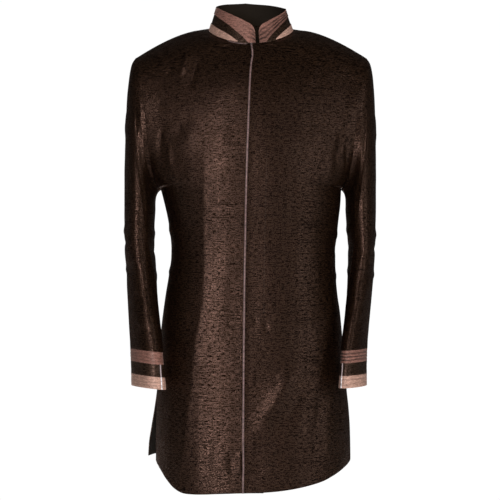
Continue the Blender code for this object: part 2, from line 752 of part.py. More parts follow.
fronts = {"left": front_grid(1), "right": front_grid(-1)}
back, back_normals = back_grid()
for half in ("right", "left"):
    front, front_normals = fronts[half]
    pieces = {piece: sleeve_grid(half, piece) for piece in ("top", "under")}
    levels = yoke_levels()
    left_side = half == "left"
    panels = (
        (front_normals, -1 if left_side else 0, 270 - 180 * levels),
        (back_normals, 0 if left_side else -1, 180 * levels - 90),
    )
    sleeves = [(pieces[piece][1], armhole_angles(piece)) for piece in pieces]
    share_sleeve_normals(half, pieces["top"][1], pieces["under"][1])
    share_armhole_normals(half, panels, sleeves)
    mitred_wall(f"front_{half}", front, front_normals, brown)
    for piece, (grid, normals) in pieces.items():
        mitred_wall(f"sleeve_{piece}_{half}", grid, normals, brown)
    for (band, _), finish in zip(CUFF_BANDS, (rose, brown, pale_rose)):
        sheet(f"cuff_{band}_{half}", cuff_grid(half, band), WALL, finish, closed=True)
    sheet(f"cuff_piping_{half}", cuff_piping(half), TRIM_WALL, mauve)
mitred_wall("back", back, back_normals, brown, parted=BACK_COLUMNS // 2)

sheet("front_piping", front_piping_grid(), TRIM_WALL, mauve)
sheet("neck_piping", neck_piping_grid(), TRIM_WALL, mauve)
sheet("collar_band", collar_grid(), WALL, brown)
sheet("collar_strip_top", moved_out(collar_grid(low="top"), LAID), TRIM_WALL, rose)
bottom_strip = collar_grid(from_opening=BOTTOM_STRIP_START, high="bottom")
sheet("collar_strip_bottom", moved_out(bottom_strip, LAID), TRIM_WALL, pale_rose)
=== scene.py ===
"""Sherwani coat: the look of every piece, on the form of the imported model.

The front faces -Y, the wearer's left is +X, and sizes are in metres unless a table says otherwise. The
tables and the functions that read them give the coat's form; each Operator makes one piece or a group of
like pieces from them.
"""

import math

import bmesh
import bpy
import numpy as np
from bpy.props import FloatProperty, FloatVectorProperty, PointerProperty
from bpy.types import Operator, Panel, PropertyGroup
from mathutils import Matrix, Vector, noise


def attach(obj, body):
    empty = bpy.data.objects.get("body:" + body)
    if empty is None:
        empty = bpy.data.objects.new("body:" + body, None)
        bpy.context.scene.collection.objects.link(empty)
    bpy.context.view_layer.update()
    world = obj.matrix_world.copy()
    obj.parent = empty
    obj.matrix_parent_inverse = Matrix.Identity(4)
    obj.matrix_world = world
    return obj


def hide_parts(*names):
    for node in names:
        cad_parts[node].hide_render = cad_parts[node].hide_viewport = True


bl_info = {
    "name": "Sherwani Coat",
    "version": (1, 0, 0),
    "blender": (4, 5, 0),
    "location": "View3D > Sidebar > Coat",
    "description": "Makes the silk panels, collar, cuffs, piping and sewing of a sherwani coat",
    "category": "Object",
}

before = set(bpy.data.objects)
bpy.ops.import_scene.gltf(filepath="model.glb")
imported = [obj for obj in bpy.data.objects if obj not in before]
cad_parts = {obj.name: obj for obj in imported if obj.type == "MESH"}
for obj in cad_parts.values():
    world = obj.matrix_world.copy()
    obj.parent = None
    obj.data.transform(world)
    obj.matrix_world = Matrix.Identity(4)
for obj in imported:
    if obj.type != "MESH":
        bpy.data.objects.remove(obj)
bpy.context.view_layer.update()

WALL = 0.0016  # main silk with its backing
TRIM_WALL = 0.0010  # strips and piping that lie on a panel

UNDERARM_Z = -0.318
SHOULDER_Z = -0.055
SIDE_SEAM_Y = 0.002
NECK_HALF_WIDTH = 0.084
NECK_FRONT_Y = -0.080
NECK_BACK_Y = 0.068
NECK_FRONT_Z = -0.034
NECK_BACK_Z = 0.018
ARMHOLE_FRONT_Y = -0.086
ARMHOLE_BACK_Y = 0.086
NECK_ROW = 0.68  # share of the way up the armhole at which a row reaches the neckline
SECTION_POWER = 2.4
ROW_ROUNDING = 0.3  # keeps a sloping row from making a ridge down the middle
BACK_HEM_Z = -0.850
FRONT_LOWEST_Z = -0.912
SLIT_TOP_Z = -0.700
LAP_DEPTH = WALL + 0.0008
LAP_FADE = 0.045
EDGE_PIPING_WIDTH = 0.0035
NECK_PIPING_WIDTH = 0.0028
NECK_PIPING_START = 0.0016  # from the neck seam
NECK_PIPING_END = 0.0060  # from the middle of the front

FRONT_COLUMNS = 13
BACK_COLUMNS = 22
SKIRT_ROWS = 17
CHEST_ROWS = 8
NECK_ROWS = 6
HEAD_ROWS = 7
ARM_ROWS = 9
CUFF_COLUMNS = 104
SHOULDER_CROWN = 0.0065


def table(names, *rows):
    """Columns of a short table by name, with the first column rising."""
    return dict(zip(names.split(), np.array(sorted(rows), float).T))


def read(columns, name, at):
    """Smooth value of one column at a place along the first column."""
    places = next(iter(columns.values()))
    values = columns[name]
    at = min(max(at, places[0]), places[-1])
    i = min(int(np.searchsorted(places, at, side="right")) - 1, len(places) - 2)
    steps = np.diff(places)
    slopes = np.diff(values) / steps
    tangents = np.empty(len(values))
    tangents[0] = slopes[0]
    tangents[-1] = slopes[-1]
    tangents[1:-1] = np.where(slopes[:-1] * slopes[1:] > 0, (slopes[:-1] + slopes[1:]) / 2, 0)
    s = (at - places[i]) / steps[i]
    return (
        (1 + 2 * s) * (1 - s) ** 2 * values[i]
        + s * (1 - s) ** 2 * steps[i] * tangents[i]
        + s * s * (3 - 2 * s) * values[i + 1]
        - s * s * (1 - s) * steps[i] * tangents[i + 1]
    )


def ease(value):
    """0 below 0, 1 above 1, and a smooth rise between them."""
    value = np.clip(value, 0, 1)
    return value * value * (3 - 2 * value)


# Half-widths to each side of the middle, and how far front and back stand off it, by height.
BODY = table(
    "z       right   left    front   back",
    (-0.912, 0.1900, 0.1985, 0.1480, 0.1460),
    (-0.850, 0.1900, 0.1975, 0.1460, 0.1450),
    (-0.780, 0.1890, 0.1945, 0.1420, 0.1430),
    (-0.715, 0.1875, 0.1900, 0.1370, 0.1390),
    (-0.640, 0.1820, 0.1850, 0.1320, 0.1330),
    (-0.574, 0.1770, 0.1790, 0.1260, 0.1260),
    (-0.526, 0.1700, 0.1725, 0.1210, 0.1180),
    (-0.478, 0.1625, 0.1685, 0.1180, 0.1110),
    (-0.446, 0.1590, 0.1680, 0.1180, 0.1080),
    (-0.414, 0.1605, 0.1700, 0.1200, 0.1090),
    (-0.366, 0.1680, 0.1760, 0.1280, 0.1150),
    (-0.318, 0.1800, 0.1800, 0.1350, 0.1230),
    (-0.250, 0.1900, 0.1900, 0.1390, 0.1290),
    (-0.180, 0.2000, 0.2000, 0.1370, 0.1310),
    (-0.110, 0.2000, 0.2000, 0.1240, 0.1240),
    (-0.060, 0.2000, 0.2000, 0.1000, 0.1080),
    (-0.034, 0.2000, 0.2000, 0.0800, 0.0960),
    (0.018, 0.2000, 0.2000, 0.0800, 0.0680),
)

# How far out the armhole seam lies, by height.
ARMHOLE = table(
    "z       out",
    (-0.318, 0.1800),
    (-0.305, 0.1880),
    (-0.270, 0.1965),
    (-0.230, 0.2020),
    (-0.168, 0.2080),
    (-0.116, 0.2180),
    (-0.090, 0.2265),
    (-0.055, 0.2310),
)

# Edges of the left front, on top, and of the right front under it: places across, by height.
LAP = table(
    "z       over     under",
    (-0.910, -0.0172, 0.0240),
    (-0.620, -0.0157, 0.0240),
    (-0.300, -0.0107, 0.0240),
    (-0.138, -0.0051, 0.0220),
    (-0.034, -0.0013, 0.0040),
)

# The front hem by the share of the way from the middle to the side: its height on each front.
FRONT_HEM = table(
    "share   right   left",
    (-0.15, -0.9050, -0.9050),
    (0.00, -0.9050, -0.9045),
    (0.30, -0.9067, -0.9010),
    (0.60, -0.9095, -0.8910),
    (0.74, -0.9055, -0.8830),
    (0.84, -0.8910, -0.8730),
    (0.92, -0.8725, -0.8640),
    (1.00, -0.8540, -0.8540),
)

# How much further out and back the back stands than the front where the side is slit, at its hem.
BACK_FLARE = {"right": (0.0165, 0.0090), "left": (-0.0040, 0.0080)}

# Middle and half-size of each sleeve, across and from front to back, and how far its back turns out,
# by height.
SLEEVES = {
    "right": table(
        "z       across  wide    along   deep    turn",
        (-0.722, 0.1985, 0.0315, -0.0960, 0.0490, 0.33),
        (-0.632, 0.2050, 0.0290, -0.0740, 0.0540, 0.30),
        (-0.558, 0.2130, 0.0290, -0.0430, 0.0620, 0.18),
        (-0.510, 0.2165, 0.0300, -0.0230, 0.0670, 0.10),
        (-0.462, 0.2205, 0.0300, -0.0080, 0.0720, 0.04),
        (-0.414, 0.2230, 0.0290, 0.0000, 0.0760, 0.00),
        (-0.360, 0.2220, 0.0305, 0.0020, 0.0810, 0.00),
    ),
    "left": table(
        "z       across  wide    along   deep    turn",
        (-0.722, 0.1970, 0.0255, -0.0980, 0.0510, 0.31),
        (-0.632, 0.2025, 0.0225, -0.0760, 0.0550, 0.28),
        (-0.574, 0.2100, 0.0230, -0.0490, 0.0610, 0.20),
        (-0.526, 0.2150, 0.0250, -0.0280, 0.0660, 0.10),
        (-0.478, 0.2190, 0.0260, -0.0110, 0.0720, 0.04),
        (-0.430, 0.2210, 0.0270, -0.0010, 0.0760, 0.00),
        (-0.360, 0.2200, 0.0300, 0.0020, 0.0810, 0.00),
    ),
}
SLEEVE_TOP_Z = -0.360
BACK_SEAM_ROW = 7  # row of the back at which the sleeve's back seam meets the armhole
CUFF_TOP_Z = -0.631
CUFF_LEAN = {"right": 0.0060, "left": 0.0020}  # how much lower the inner side of a cuff hangs
HEAD_BULGE = 0.022  # length of the straight run of the sleeve head out of the armhole

# Angle round a sleeve, 90 outside, 180 in front and 270 inside, of the seams of its two pieces.
SLEEVE_SEAMS = table(
    "z       front   back",
    (-0.722, 228.0, -22.0),
    (-0.670, 232.0, -20.0),
    (-0.600, 245.0, -16.0),
    (-0.540, 244.0, -12.0),
    (-0.470, 230.0, -8.0),
    (-0.400, 208.0, -4.0),
    (-0.318, 190.0, 0.0),
    (-0.200, 168.0, 6.0),
    (-0.110, 148.0, 12.0),
)

# Soft folds across the sleeves: middle, half-height, half-angle and rise.
SLEEVE_FOLDS = (
    ("right", -0.425, 205.0, 0.014, 45.0, 0.0030),
    ("right", -0.480, 120.0, 0.015, 45.0, -0.0026),
    ("right", -0.565, 170.0, 0.014, 50.0, 0.0026),
    ("left", -0.410, 160.0, 0.014, 45.0, 0.0028),
    ("left", -0.490, 200.0, 0.015, 45.0, -0.0026),
    ("left", -0.560, 150.0, 0.014, 50.0, 0.0026),
)

# Length of each cuff band along the sleeve, from the top one down.
CUFF_BANDS = (("upper", 0.0240), ("middle", 0.0240), ("lower", 0.0235))
CUFF_PIPING_WIDTH = 0.0040
CUFF_PIPING_START = 0.0030  # from the first column of the cuff in front of its seam

# Top edge of the collar by the angle from its front opening: height, and how far out and forward.
COLLAR_TOP = table(
    "angle   z       out     along",
    (0.0, 0.0030, 0.0690, -0.0710),
    (8.5, 0.0050, 0.0690, -0.0710),
    (16.0, 0.0095, 0.0690, -0.0705),
    (27.0, 0.0165, 0.0690, -0.0700),
    (55.0, 0.0320, 0.0690, -0.0680),
    (80.0, 0.0430, 0.0690, -0.0650),
    (99.0, 0.0475, 0.0690, -0.0630),
    (140.0, 0.0580, 0.0690, -0.0600),
    (180.0, 0.0630, 0.0690, -0.0590),
)
COLLAR_OPENING = 8.75  # degrees from the middle of the front to the middle of the opening
COLLAR_HALF_GAP = 2.75
COLLAR_CORNER = 9.0  # degrees over which a front corner rounds down
COLLAR_CORNER_DROP = 0.45

# Lower edge of the collar's top strip and upper edge of its bottom strip, as shares of the band's
# height, by the angle from the opening.
COLLAR_STRIPS = table(
    "angle   top     bottom",
    (0.0, -0.45, -0.90),
    (11.5, 0.00, -0.55),
    (17.0, 0.19, -0.24),
    (24.0, 0.35, 0.00),
    (33.0, 0.47, 0.15),
    (42.0, 0.57, 0.24),
    (64.0, 0.67, 0.31),
    (95.0, 0.72, 0.33),
    (180.0, 0.74, 0.34),
)
BOTTOM_STRIP_START = 27.0
STRIP_FOOT = 0.02  # share of the band's height that shows below a strip at the neck seam

# Large soft folds on the fronts and the back: ends as seen from the front, half-width and height.
FOLDS = (
    ("front", (0.008, -0.790), (0.088, -0.676), 0.017, 0.0030),
    ("front", (-0.176, -0.612), (-0.100, -0.630), 0.014, 0.0026),
    ("front", (0.030, -0.582), (0.158, -0.562), 0.014, 0.0026),
    ("front", (0.090, -0.366), (0.160, -0.380), 0.015, -0.0028),
    ("front", (-0.150, -0.205), (-0.046, -0.214), 0.016, 0.0022),
    ("front", (0.082, -0.206), (0.176, -0.220), 0.016, 0.0022),
    ("front", (-0.124, -0.046), (-0.142, -0.096), 0.013, 0.0026),
    ("front", (0.146, -0.058), (0.166, -0.094), 0.013, 0.0026),
    ("back", (-0.140, -0.400), (-0.030, -0.425), 0.017, 0.0028),
    ("back", (0.150, -0.395), (0.040, -0.440), 0.017, -0.0028),
    ("back", (-0.120, -0.610), (0.060, -0.640), 0.018, 0.0026),
    ("back", (0.060, -0.150), (0.150, -0.240), 0.018, 0.0026),
    ("back", (-0.070, -0.140), (-0.160, -0.250), 0.018, 0.0026),
)

# Finer rows and columns in each cell of the form.
STEPS = {"front": (6, 8), "back": (6, 8), "sleeve": (8, 7)}
SEAM_FADE = 0.016  # creases die out this far from a seam
CREASE_STRAY = 0.0035  # how far a crease wanders off its path
STRAY_SHIFT = Vector((7.3, 2.9, 5.1))  # parts its wandering up from that across
DART_TOP = 0.0012  # how sharp the top of a dart is
DART_FADE = 0.06  # length over which a dart's ends fade
YOKE_LOW_Z = -0.22  # the yoke's bend is made rounder above this height
YOKE_FADE = 0.08
YOKE_SEAM_FADE = 0.035  # and this far from its seams
YOKE_ROUNDS = 70
EDGE_RIDGE = (0.0012, 0.008)  # rise and half-width of the ridge at the lapping edge
EDGE_SWELL = (0.0020, 0.045)  # and of the wide swell behind it
SLEEVE_SEAM_RIDGE = (0.0014, 0.007)
SLEEVE_SEAM_TOP_Z = -0.16  # the ridge along a sleeve's front seam fades in below this height
CLEARANCE = 0.0001  # between a trim and its panel
TRIM_LIFT = TRIM_WALL + CLEARANCE  # how far a strip stands out from the panel that it is sewn to
PIPING_RISE = 0.0013
STRIP_ROWS = 30
CUFF_ROWS = 25
CUFF_PIPING_COLUMN = 4  # columns from the front seam of the cuff to its piping

# Tucks in each cuff band, and how strong their folds are, which sets both their dip and the painted shade
# in them, on each cuff.
CUFF_TUCKS = {
    "right": {"upper": (3, 0.50), "middle": (2, 0.15), "lower": (3, 0.28)},
    "left": {"upper": (3, 1.2), "middle": (2, 0.35), "lower": (2, 0.40)},
}
# Tucks in each collar strip, and how strong their folds are, which sets both their dip and the painted
# shade in them.
COLLAR_TUCKS = {"top": (3, 1.0), "bottom": (2, 0.25)}
TUCK_HALF_WIDTH = 0.0013
TUCK_STRAY = 0.0010  # how far a tuck wanders up and down
CUFF_TUCK_DEPTH = 0.0008
COLLAR_TUCK_DEPTH = 0.0006
CUFF_UNEVENNESS = 0.0006
STITCH_LENGTH = 0.0026
STITCH_PITCH = 0.0036
STITCH_WIDTH = 0.0005

# Creases by the side of the coat that they are seen from, in millimetres: half-width, rise, and the
# places that the crease passes, each as across and up.
CREASES = {
    "front": (
        (6, 3.6, -120, -40, -128, -66, -139, -100),
        (5, -1.1, -156, -81, -166, -101),
        (8, 2.1, 118, -62, 119, -90, 116, -122),
        (6, 1.3, 143, -70, 162, -105),
        (8, -1.8, -100, -60, -113, -100, -118, -132),
        (7.5, -2.4, -175, -195, -178, -235, -172, -272),
        (7.5, -2.6, 170, -186, 175, -222, 168, -262),
        (7, 1.8, -160, -232, -158, -276, -146, -312),
        (7, 1.8, 156, -226, 155, -270, 146, -318),
        (3, 1.3, -168, -606, -137, -617, -106, -621, -21, -621),
        (6, -1.4, -165, -622, -110, -636, -50, -634),
        (6, 1.6, 31, -575, 90, -569, 152, -558),
        (6, -1.4, 40, -592, 100, -588, 160, -574),
        (8, 1.6, 75, -212, 130, -216, 175, -226),
        (8, 1.6, -147, -216, -96, -217, -41, -222),
        (6, 1.5, 95, -376, 143, -380, 163, -372),
        (7, -1.5, 100, -394, 140, -398, 160, -404),
        (6, -1.3, -152, -392, -120, -398, -98, -392),
        (6, 1.2, -150, -424, -128, -428, -104, -436),
        (11, 3, 12, -779, 44, -732, 85, -667),
        (12, -2.2, 40, -800, 80, -745, 112, -690),
        (10, -1.8, 120, -880, 126, -800, 140, -700),
        (11, 1.6, 150, -870, 152, -790, 160, -690),
        (6, -2, -37, -824, -38, -850, -36, -880),
        (6, 1.8, -22, -820, -21, -846, -21, -876),
        (6, -1.5, -8, -862, 12, -856, 31, -849),
        (11, -1.4, -85, -890, -78, -820, -68, -740),
        (12, 1.4, -165, -850, -160, -780, -150, -700),
        (5, -1.1, 6, -565, 14, -583),
        (5, -1.1, 25, -573, 33, -602),
        (9, 1, -60, -470, -40, -480, -20, -476),
        (8, -1, -84, -350, -60, -356, -30, -350),
        (4.5, 2, -228, -85, -214, -150, -208, -260, -206, -400, -203, -540),
        (4.5, 2, 200, -280, 206, -380, 204, -480, 199, -570),
        (5, 1.8, 204, -218, 198, -250, 190, -282),
        (6, -2, 192, -200, 187, -240, 190, -300),
        (5, 1.5, -206, -214, -200, -256, -196, -290),
        (6, -1.4, -222, -190, -216, -240, -212, -280),
        (6, 1.4, 226, -180, 224, -225, 218, -270),
        (6, -1.6, -236, -400, -222, -412, -206, -430),
        (5, 1.4, -238, -452, -222, -460, -208, -456),
        (5, -1.4, -232, -520, -218, -534, -206, -540),
        (5, 1.2, -226, -570, -214, -582, -200, -586),
        (5, 1.5, 236, -420, 222, -446, 208, -470),
        (5, -1.4, 238, -470, 222, -494, 208, -512),
        (4.5, 1.3, 234, -506, 220, -532, 204, -552),
        (4.5, -1.2, 226, -560, 212, -580, 198, -590),
    ),
    "back": (
        (9, 1.8, -130, -100, -110, -160, -80, -200),
        (9, 1.8, 135, -105, 118, -170, 92, -215),
        (7, -2, -165, -170, -172, -225, -164, -290),
        (7, -2, 168, -180, 172, -232, 160, -282),
        (6, 1.4, -60, -58, 0, -66, 52, -56),
        (7, -1.6, -140, -372, -90, -384, -46, -378),
        (6, 1.6, 50, -392, 100, -404, 146, -396),
        (6, -1.4, 60, -430, 110, -438, 150, -450),
        (7, 1.5, -150, -560, -90, -572, -20, -566),
        (12, 2.4, -90, -840, -84, -760, -66, -680),
        (13, -2, -40, -840, -36, -750, -20, -660),
        (12, 2.2, 52, -842, 50, -770, 62, -690),
        (12, -2, 112, -838, 116, -770, 124, -700),
        (6, 1.6, -240, -380, -226, -396, -208, -402),
        (6, -1.5, 240, -372, 224, -392, 206, -404),
        (6, -1.6, -238, -450, -222, -436, -206, -440),
        (6, 1.5, 238, -448, 222, -440, 206, -446),
    ),
    "right": (
        (7, 1.8, -52, -150, -30, -190, 0, -214),
        (7, -1.8, 52, -160, 34, -210, 4, -250),
        (6, 1.8, -60, -380, -20, -400, 30, -396),
        (6, -1.8, -70, -430, -20, -424, 40, -436),
        (6, 1.6, -70, -500, -30, -480, 20, -474),
    ),
    "left": (
        (7, 1.8, -48, -160, -24, -204, 8, -222),
        (7, -1.8, 50, -170, 30, -214, 0, -262),
        (6, 1.8, -64, -392, -20, -408, 34, -400),
        (6, -1.8, -70, -444, -24, -434, 36, -446),
        (6, 1.6, -74, -510, -34, -492, 16, -482),
    ),
}
# Darts, which are creases with a sharp top, in the same way.
DARTS = {
    "front": (
        (20, 2.6, -86, -245, -90, -322, -91, -534, -108, -621, -118, -727, -141, -908),
        (18, 2, 98, -280, 96, -322, 89, -473, 98, -560),
    ),
    "back": (
        (18, 2, -86, -260, -80, -400, -88, -560),
        (18, 2, 92, -268, 84, -400, 90, -566),
    ),
}

# The way each side of the coat is seen: the axes across and up, and which way its cloth faces.
SIDES = {
    "front": (0, (0, -1, 0)),
    "back": (0, (0, 1, 0)),
    "right": (1, (-1, 0, 0)),
    "left": (1, (1, 0, 0)),
}

# Rows of sewing on the left front: how far from its edge, and the heights that they run between.
FRONT_SEWING = ((0.040, -0.245, -0.563),)

CAMERA = (-0.002, -3.6, -0.438)
LENS = 129.6
SENSOR_WIDTH = 36
CAMERA_REACH = 50
FLOOR_Z = -1.5
FLOOR_RADIUS = 3.2
FLOOR_CORNERS = 96
PAPER = (0.86, 0.86, 0.86, 1)
WORLD_GLOW = 0.06  # light that the white room gives the coat
PAPER_WHITE = 1.02  # how bright the room looks behind it

# Lights: place, what they point at, width and height, power, colour and the kind of light they give.
LIGHTS = (
    ("Strip", (-0.98, -3.05, -0.13), (-0.05, 0.0, -0.30), (0.30, 0.50), 80.0, (1.0, 0.90, 0.87), "gloss"),
    ("Top", (0.2, -1.4, 1.9), (0.0, 0.0, -0.3), (1.2, 0.8), 4.0, (1.0, 0.97, 0.94), "diffuse"),
    ("Front", (0.3, -2.9, 0.5), (0.0, 0.0, -0.3), (1.0, 1.0), 60.0, (1.0, 0.96, 0.94), "diffuse"),
    ("Fill", (2.7, -2.3, 0.0), (0.0, 0.0, -0.4), (1.0, 1.4), 26.0, (1.0, 0.96, 0.92), "both"),
    ("Behind", (-1.2, 3.0, 0.5), (0.0, 0.0, -0.45), (1.4, 1.6), 160.0, (1.0, 0.95, 0.91), "diffuse"),
)


def fold_height(where, x, z):
    """How far the large folds lift the cloth off its form at one place."""
    height = 0.0
    for on, start, end, half_width, rise in FOLDS:
        if on != where:
            continue
        run = np.subtract(end, start)
        length = math.hypot(*run)
        share = float(np.dot(np.subtract((x, z), start), run)) / length**2
        off = abs(run[0] * (z - start[1]) - run[1] * (x - start[0])) / length
        ends = ease((share + 0.25) / 0.35) * ease((1.25 - share) / 0.35)
        height += rise * ends * math.exp(-((off / half_width) ** 2))
    return height


def armhole(side, angle):
    """Point of the armhole seam: 90 degrees at the shoulder, 180 in front, 270 under the arm."""
    turn = math.radians(angle)
    middle = (UNDERARM_Z + SHOULDER_Z) / 2
    half = (SHOULDER_Z - UNDERARM_Z) / 2
    z = middle + half * math.sin(turn)
    reach = ARMHOLE_BACK_Y if math.cos(turn) > 0 else -ARMHOLE_FRONT_Y
    y = SIDE_SEAM_Y + reach * math.cos(turn)
    return np.array((side * read(ARMHOLE, "out", z), y, z))


def armhole_line(side):
    """Points all round the armhole seam."""
    return np.array([armhole(side, angle) for angle in range(-90, 271, 4)])


def neckline(angle):
    """Point of the neck seam, by the angle from the front's middle towards the wearer's left."""
    turn = math.radians(angle)
    ahead = math.cos(turn)
    across = NECK_HALF_WIDTH * math.sin(turn)
    if ahead > 0:
        return np.array((across, NECK_FRONT_Y * ahead, NECK_FRONT_Z * ahead**1.3))
    return np.array((across, NECK_BACK_Y * -ahead, NECK_BACK_Z * (-ahead) ** 1.3))


def body_row(where, side, level):
    """The middle and the outer end of a row: level -1 is the hem, 0 the underarm, 1 the shoulder."""
    depth = "front" if where == "front" else "back"
    facing = -1 if where == "front" else 1
    half = "left" if side > 0 else "right"
    if level <= 0:
        bottom = FRONT_LOWEST_Z if where == "front" else BACK_HEM_Z
        z = UNDERARM_Z + (UNDERARM_Z - bottom) * level
        middle = np.array((0.0, facing * read(BODY, depth, z), z))
        end = np.array((side * read(BODY, half, z), SIDE_SEAM_Y, z))
        return middle, end
    angle = 270 - 180 * level if where == "front" else -90 + 180 * level
    end = armhole(side, angle)
    neck = neckline(0 if where == "front" else 180)
    if level < NECK_ROW:
        z = UNDERARM_Z + (neck[2] - UNDERARM_Z) * level / NECK_ROW
        return np.array((0.0, facing * read(BODY, depth, z), z)), end
    share = (level - NECK_ROW) / (1 - NECK_ROW)
    turn = 90 * share if where == "front" else 180 - 90 * share
    middle = neckline(side * turn)
    return middle, end


def body_point(where, side, level, across):
    """A point of the torso: across is 0 at the middle or neckline and 1 at the side or armhole."""
    middle, end = body_row(where, side, level)
    reach = min(abs(across), 1.0)
    round_end = (1 - reach**SECTION_POWER) ** (1 / SECTION_POWER)
    flat_end = 1 - reach**2
    blend = ease(level / 0.45)
    bulge = (1 - blend) * round_end + blend * flat_end
    x = middle[0] + (end[0] - middle[0]) * across
    y = end[1] + (middle[1] - end[1]) * bulge
    slope = math.hypot(reach, ROW_ROUNDING) - ROW_ROUNDING
    slope /= math.hypot(1, ROW_ROUNDING) - ROW_ROUNDING
    z = middle[2] + (end[2] - middle[2]) * slope
    crown = 4 * max(across, 0.0) * max(1 - across, 0.0) * ease((level - 0.6) / 0.4)
    return np.array((x, y, z + SHOULDER_CROWN * crown))


def spread_row(where, side, level, start, count):
    """Points spaced evenly along one row, from a place across the middle to its outer end."""
    middle, end = body_row(where, side, level)
    first = (start - middle[0]) / (end[0] - middle[0])
    dense = np.linspace(0, 1, 121)
    shares = first + (1 - first) * (1 - (1 - dense) ** 2)
    line = np.array([body_point(where, side, level, share) for share in shares])
    lengths = np.concatenate([[0], np.cumsum(np.linalg.norm(np.diff(line, axis=0), axis=1))])
    wanted = np.linspace(0, lengths[-1], count + 1)
    return np.column_stack([np.interp(wanted, lengths, line[:, k]) for k in range(3)])


def unit(vectors):
    """The vectors, with a length of 1 each."""
    return vectors / np.linalg.norm(vectors, axis=-1, keepdims=True)


def normals_of(grid):
    """Unit normals of a grid of points, by its rows and columns."""
    return unit(np.cross(np.gradient(grid, axis=1), np.gradient(grid, axis=0)))


def yoke_levels():
    """Levels of the rows from underarm to shoulder, with one at the bottom of the neckline."""
    chest = np.linspace(0, NECK_ROW, CHEST_ROWS + 1)
    beside_neck = np.linspace(NECK_ROW, 1, NECK_ROWS + 1)
    return np.concatenate([chest, beside_neck[1:]])


def levels_of():
    """Levels of all the rows of a front or the back."""
    skirt = np.linspace(-1, 0, SKIRT_ROWS + 1)
    return np.concatenate([skirt[:-1], yoke_levels()])


def front_grid(side):
    """Outer points of one front, from the wearer's right to left and from hem to shoulder."""
    half = "left" if side > 0 else "right"
    rows = []
    for level in levels_of():
        middle, end = body_row("front", side, level)
        start = read(LAP, "over" if side > 0 else "under", middle[2])
        if level > NECK_ROW:
            start = middle[0]
        row = spread_row("front", side, level, start, FRONT_COLUMNS)
        hem_fade = ease((-level - 0.55) / 0.45)
        for point in row:
            hem = read(FRONT_HEM, half, point[0] / end[0])
            point[2] += (hem - FRONT_LOWEST_Z) * hem_fade
        rows.append(row if side > 0 else row[::-1])
    grid = np.array(rows)
    normals = normals_of(grid)
    for i, j in np.ndindex(grid.shape[:2]):
        x, _, z = grid[i, j]
        lift = fold_height("front", x, z)
        if side < 0:
            under = ease(1.12 + (x - read(LAP, "over", z)) / LAP_FADE)
            lift += under * (-LAP_DEPTH - lift)
        grid[i, j] += normals[i, j] * lift
    return grid


def back_grid():
    """Outer points of the back, from left to right. The two middle columns part at the neck."""
    rows = []
    levels = levels_of()
    for level in levels:
        halves = []
        for side, half in ((1, "left"), (-1, "right")):
            middle, _ = body_row("back", side, level)
            row = spread_row("back", side, level, middle[0], BACK_COLUMNS // 2)
            out, behind = BACK_FLARE[half]
            for k, point in enumerate(row):
                slit = ease((SLIT_TOP_Z - point[2]) / (SLIT_TOP_Z - BACK_HEM_Z))
                share = slit * (k * 2 / BACK_COLUMNS) ** 3
                point += np.array((side * out, behind, 0)) * share
            halves.append(row)
        rows.append(np.concatenate([halves[0][::-1], halves[1]]))
    grid = np.array(rows)
    normals = normals_of(grid)
    for i, j in np.ndindex(grid.shape[:2]):
        grid[i, j] += normals[i, j] * fold_height("back", grid[i, j, 0], grid[i, j, 2])
    middle = BACK_COLUMNS // 2
    joined = levels <= NECK_ROW
    meeting = (grid[joined, middle] + grid[joined, middle + 1]) / 2
    grid[joined, middle] = meeting
    grid[joined, middle + 1] = meeting
    return grid


def sleeve_ring(half, z, angle):
    """Point of a sleeve below its head."""
    side = 1 if half == "left" else -1
    turn = math.radians(angle)
    columns = SLEEVES[half]
    wide = read(columns, "wide", z)
    deep = read(columns, "deep", z)
    lift = 0.0
    for on, fold_z, fold_angle, half_height, half_angle, rise in SLEEVE_FOLDS:
        if on == half:
            off = math.remainder(angle - fold_angle, 360) / half_angle
            lift += rise * math.exp(-(off**2) - ((z - fold_z) / half_height) ** 2)
    back = (deep + lift) * math.cos(turn)
    out = (wide + lift) * math.sin(turn) + read(columns, "turn", z) * back
    across = side * (read(columns, "across", z) + out)
    return np.array((across, read(columns, "along", z) + back, z))


def sleeve_head(half, share, angle):
    """Point of a sleeve's head: share is 0 at the armhole and 1 where the arm hangs clear."""
    side = 1 if half == "left" else -1
    angle = (angle + 90) % 360 - 90
    where = "front" if angle > 90 else "back"
    level = (270 - angle) / 180 if where == "front" else (angle + 90) / 180
    level = min(max(level, 0.0), 1.0)
    seam = armhole(side, angle)
    panel = seam - body_point(where, side, level, 0.97)
    panel /= np.linalg.norm(panel)
    upper = ease((math.sin(math.radians(angle)) + 0.5) / 1.2)
    away = upper * panel + (1 - upper) * np.array((side * 0.85, 0.0, -0.5))
    away /= np.linalg.norm(away)
    end = sleeve_ring(half, SLEEVE_TOP_Z, angle)
    run = np.linalg.norm(end - seam)
    first = seam
    second = first + away * min(HEAD_BULGE, 0.3 * run)
    third = end + np.array((0, 0, 0.5 * run))
    weights = (1 - share) ** 3, 3 * share * (1 - share) ** 2, 3 * share**2 * (1 - share), share**3
    return weights[0] * first + weights[1] * second + weights[2] * third + weights[3] * end


def sleeve_bottom(half, angle, below=0.0):
    """Height of the sleeve's lower edge, or of a line this far below it."""
    inward = (1 - math.sin(math.radians(angle))) / 2
    return CUFF_TOP_Z - CUFF_LEAN[half] * inward - below


def sleeve_point(half, share, angle):
    """Point of a sleeve: share is 0 at the armhole, 1 below the head and 2 at the lower edge."""
    if share <= 1:
        return sleeve_head(half, share, angle)
    bottom = sleeve_bottom(half, angle)
    return sleeve_ring(half, SLEEVE_TOP_Z + (bottom - SLEEVE_TOP_Z) * (share - 1), angle)


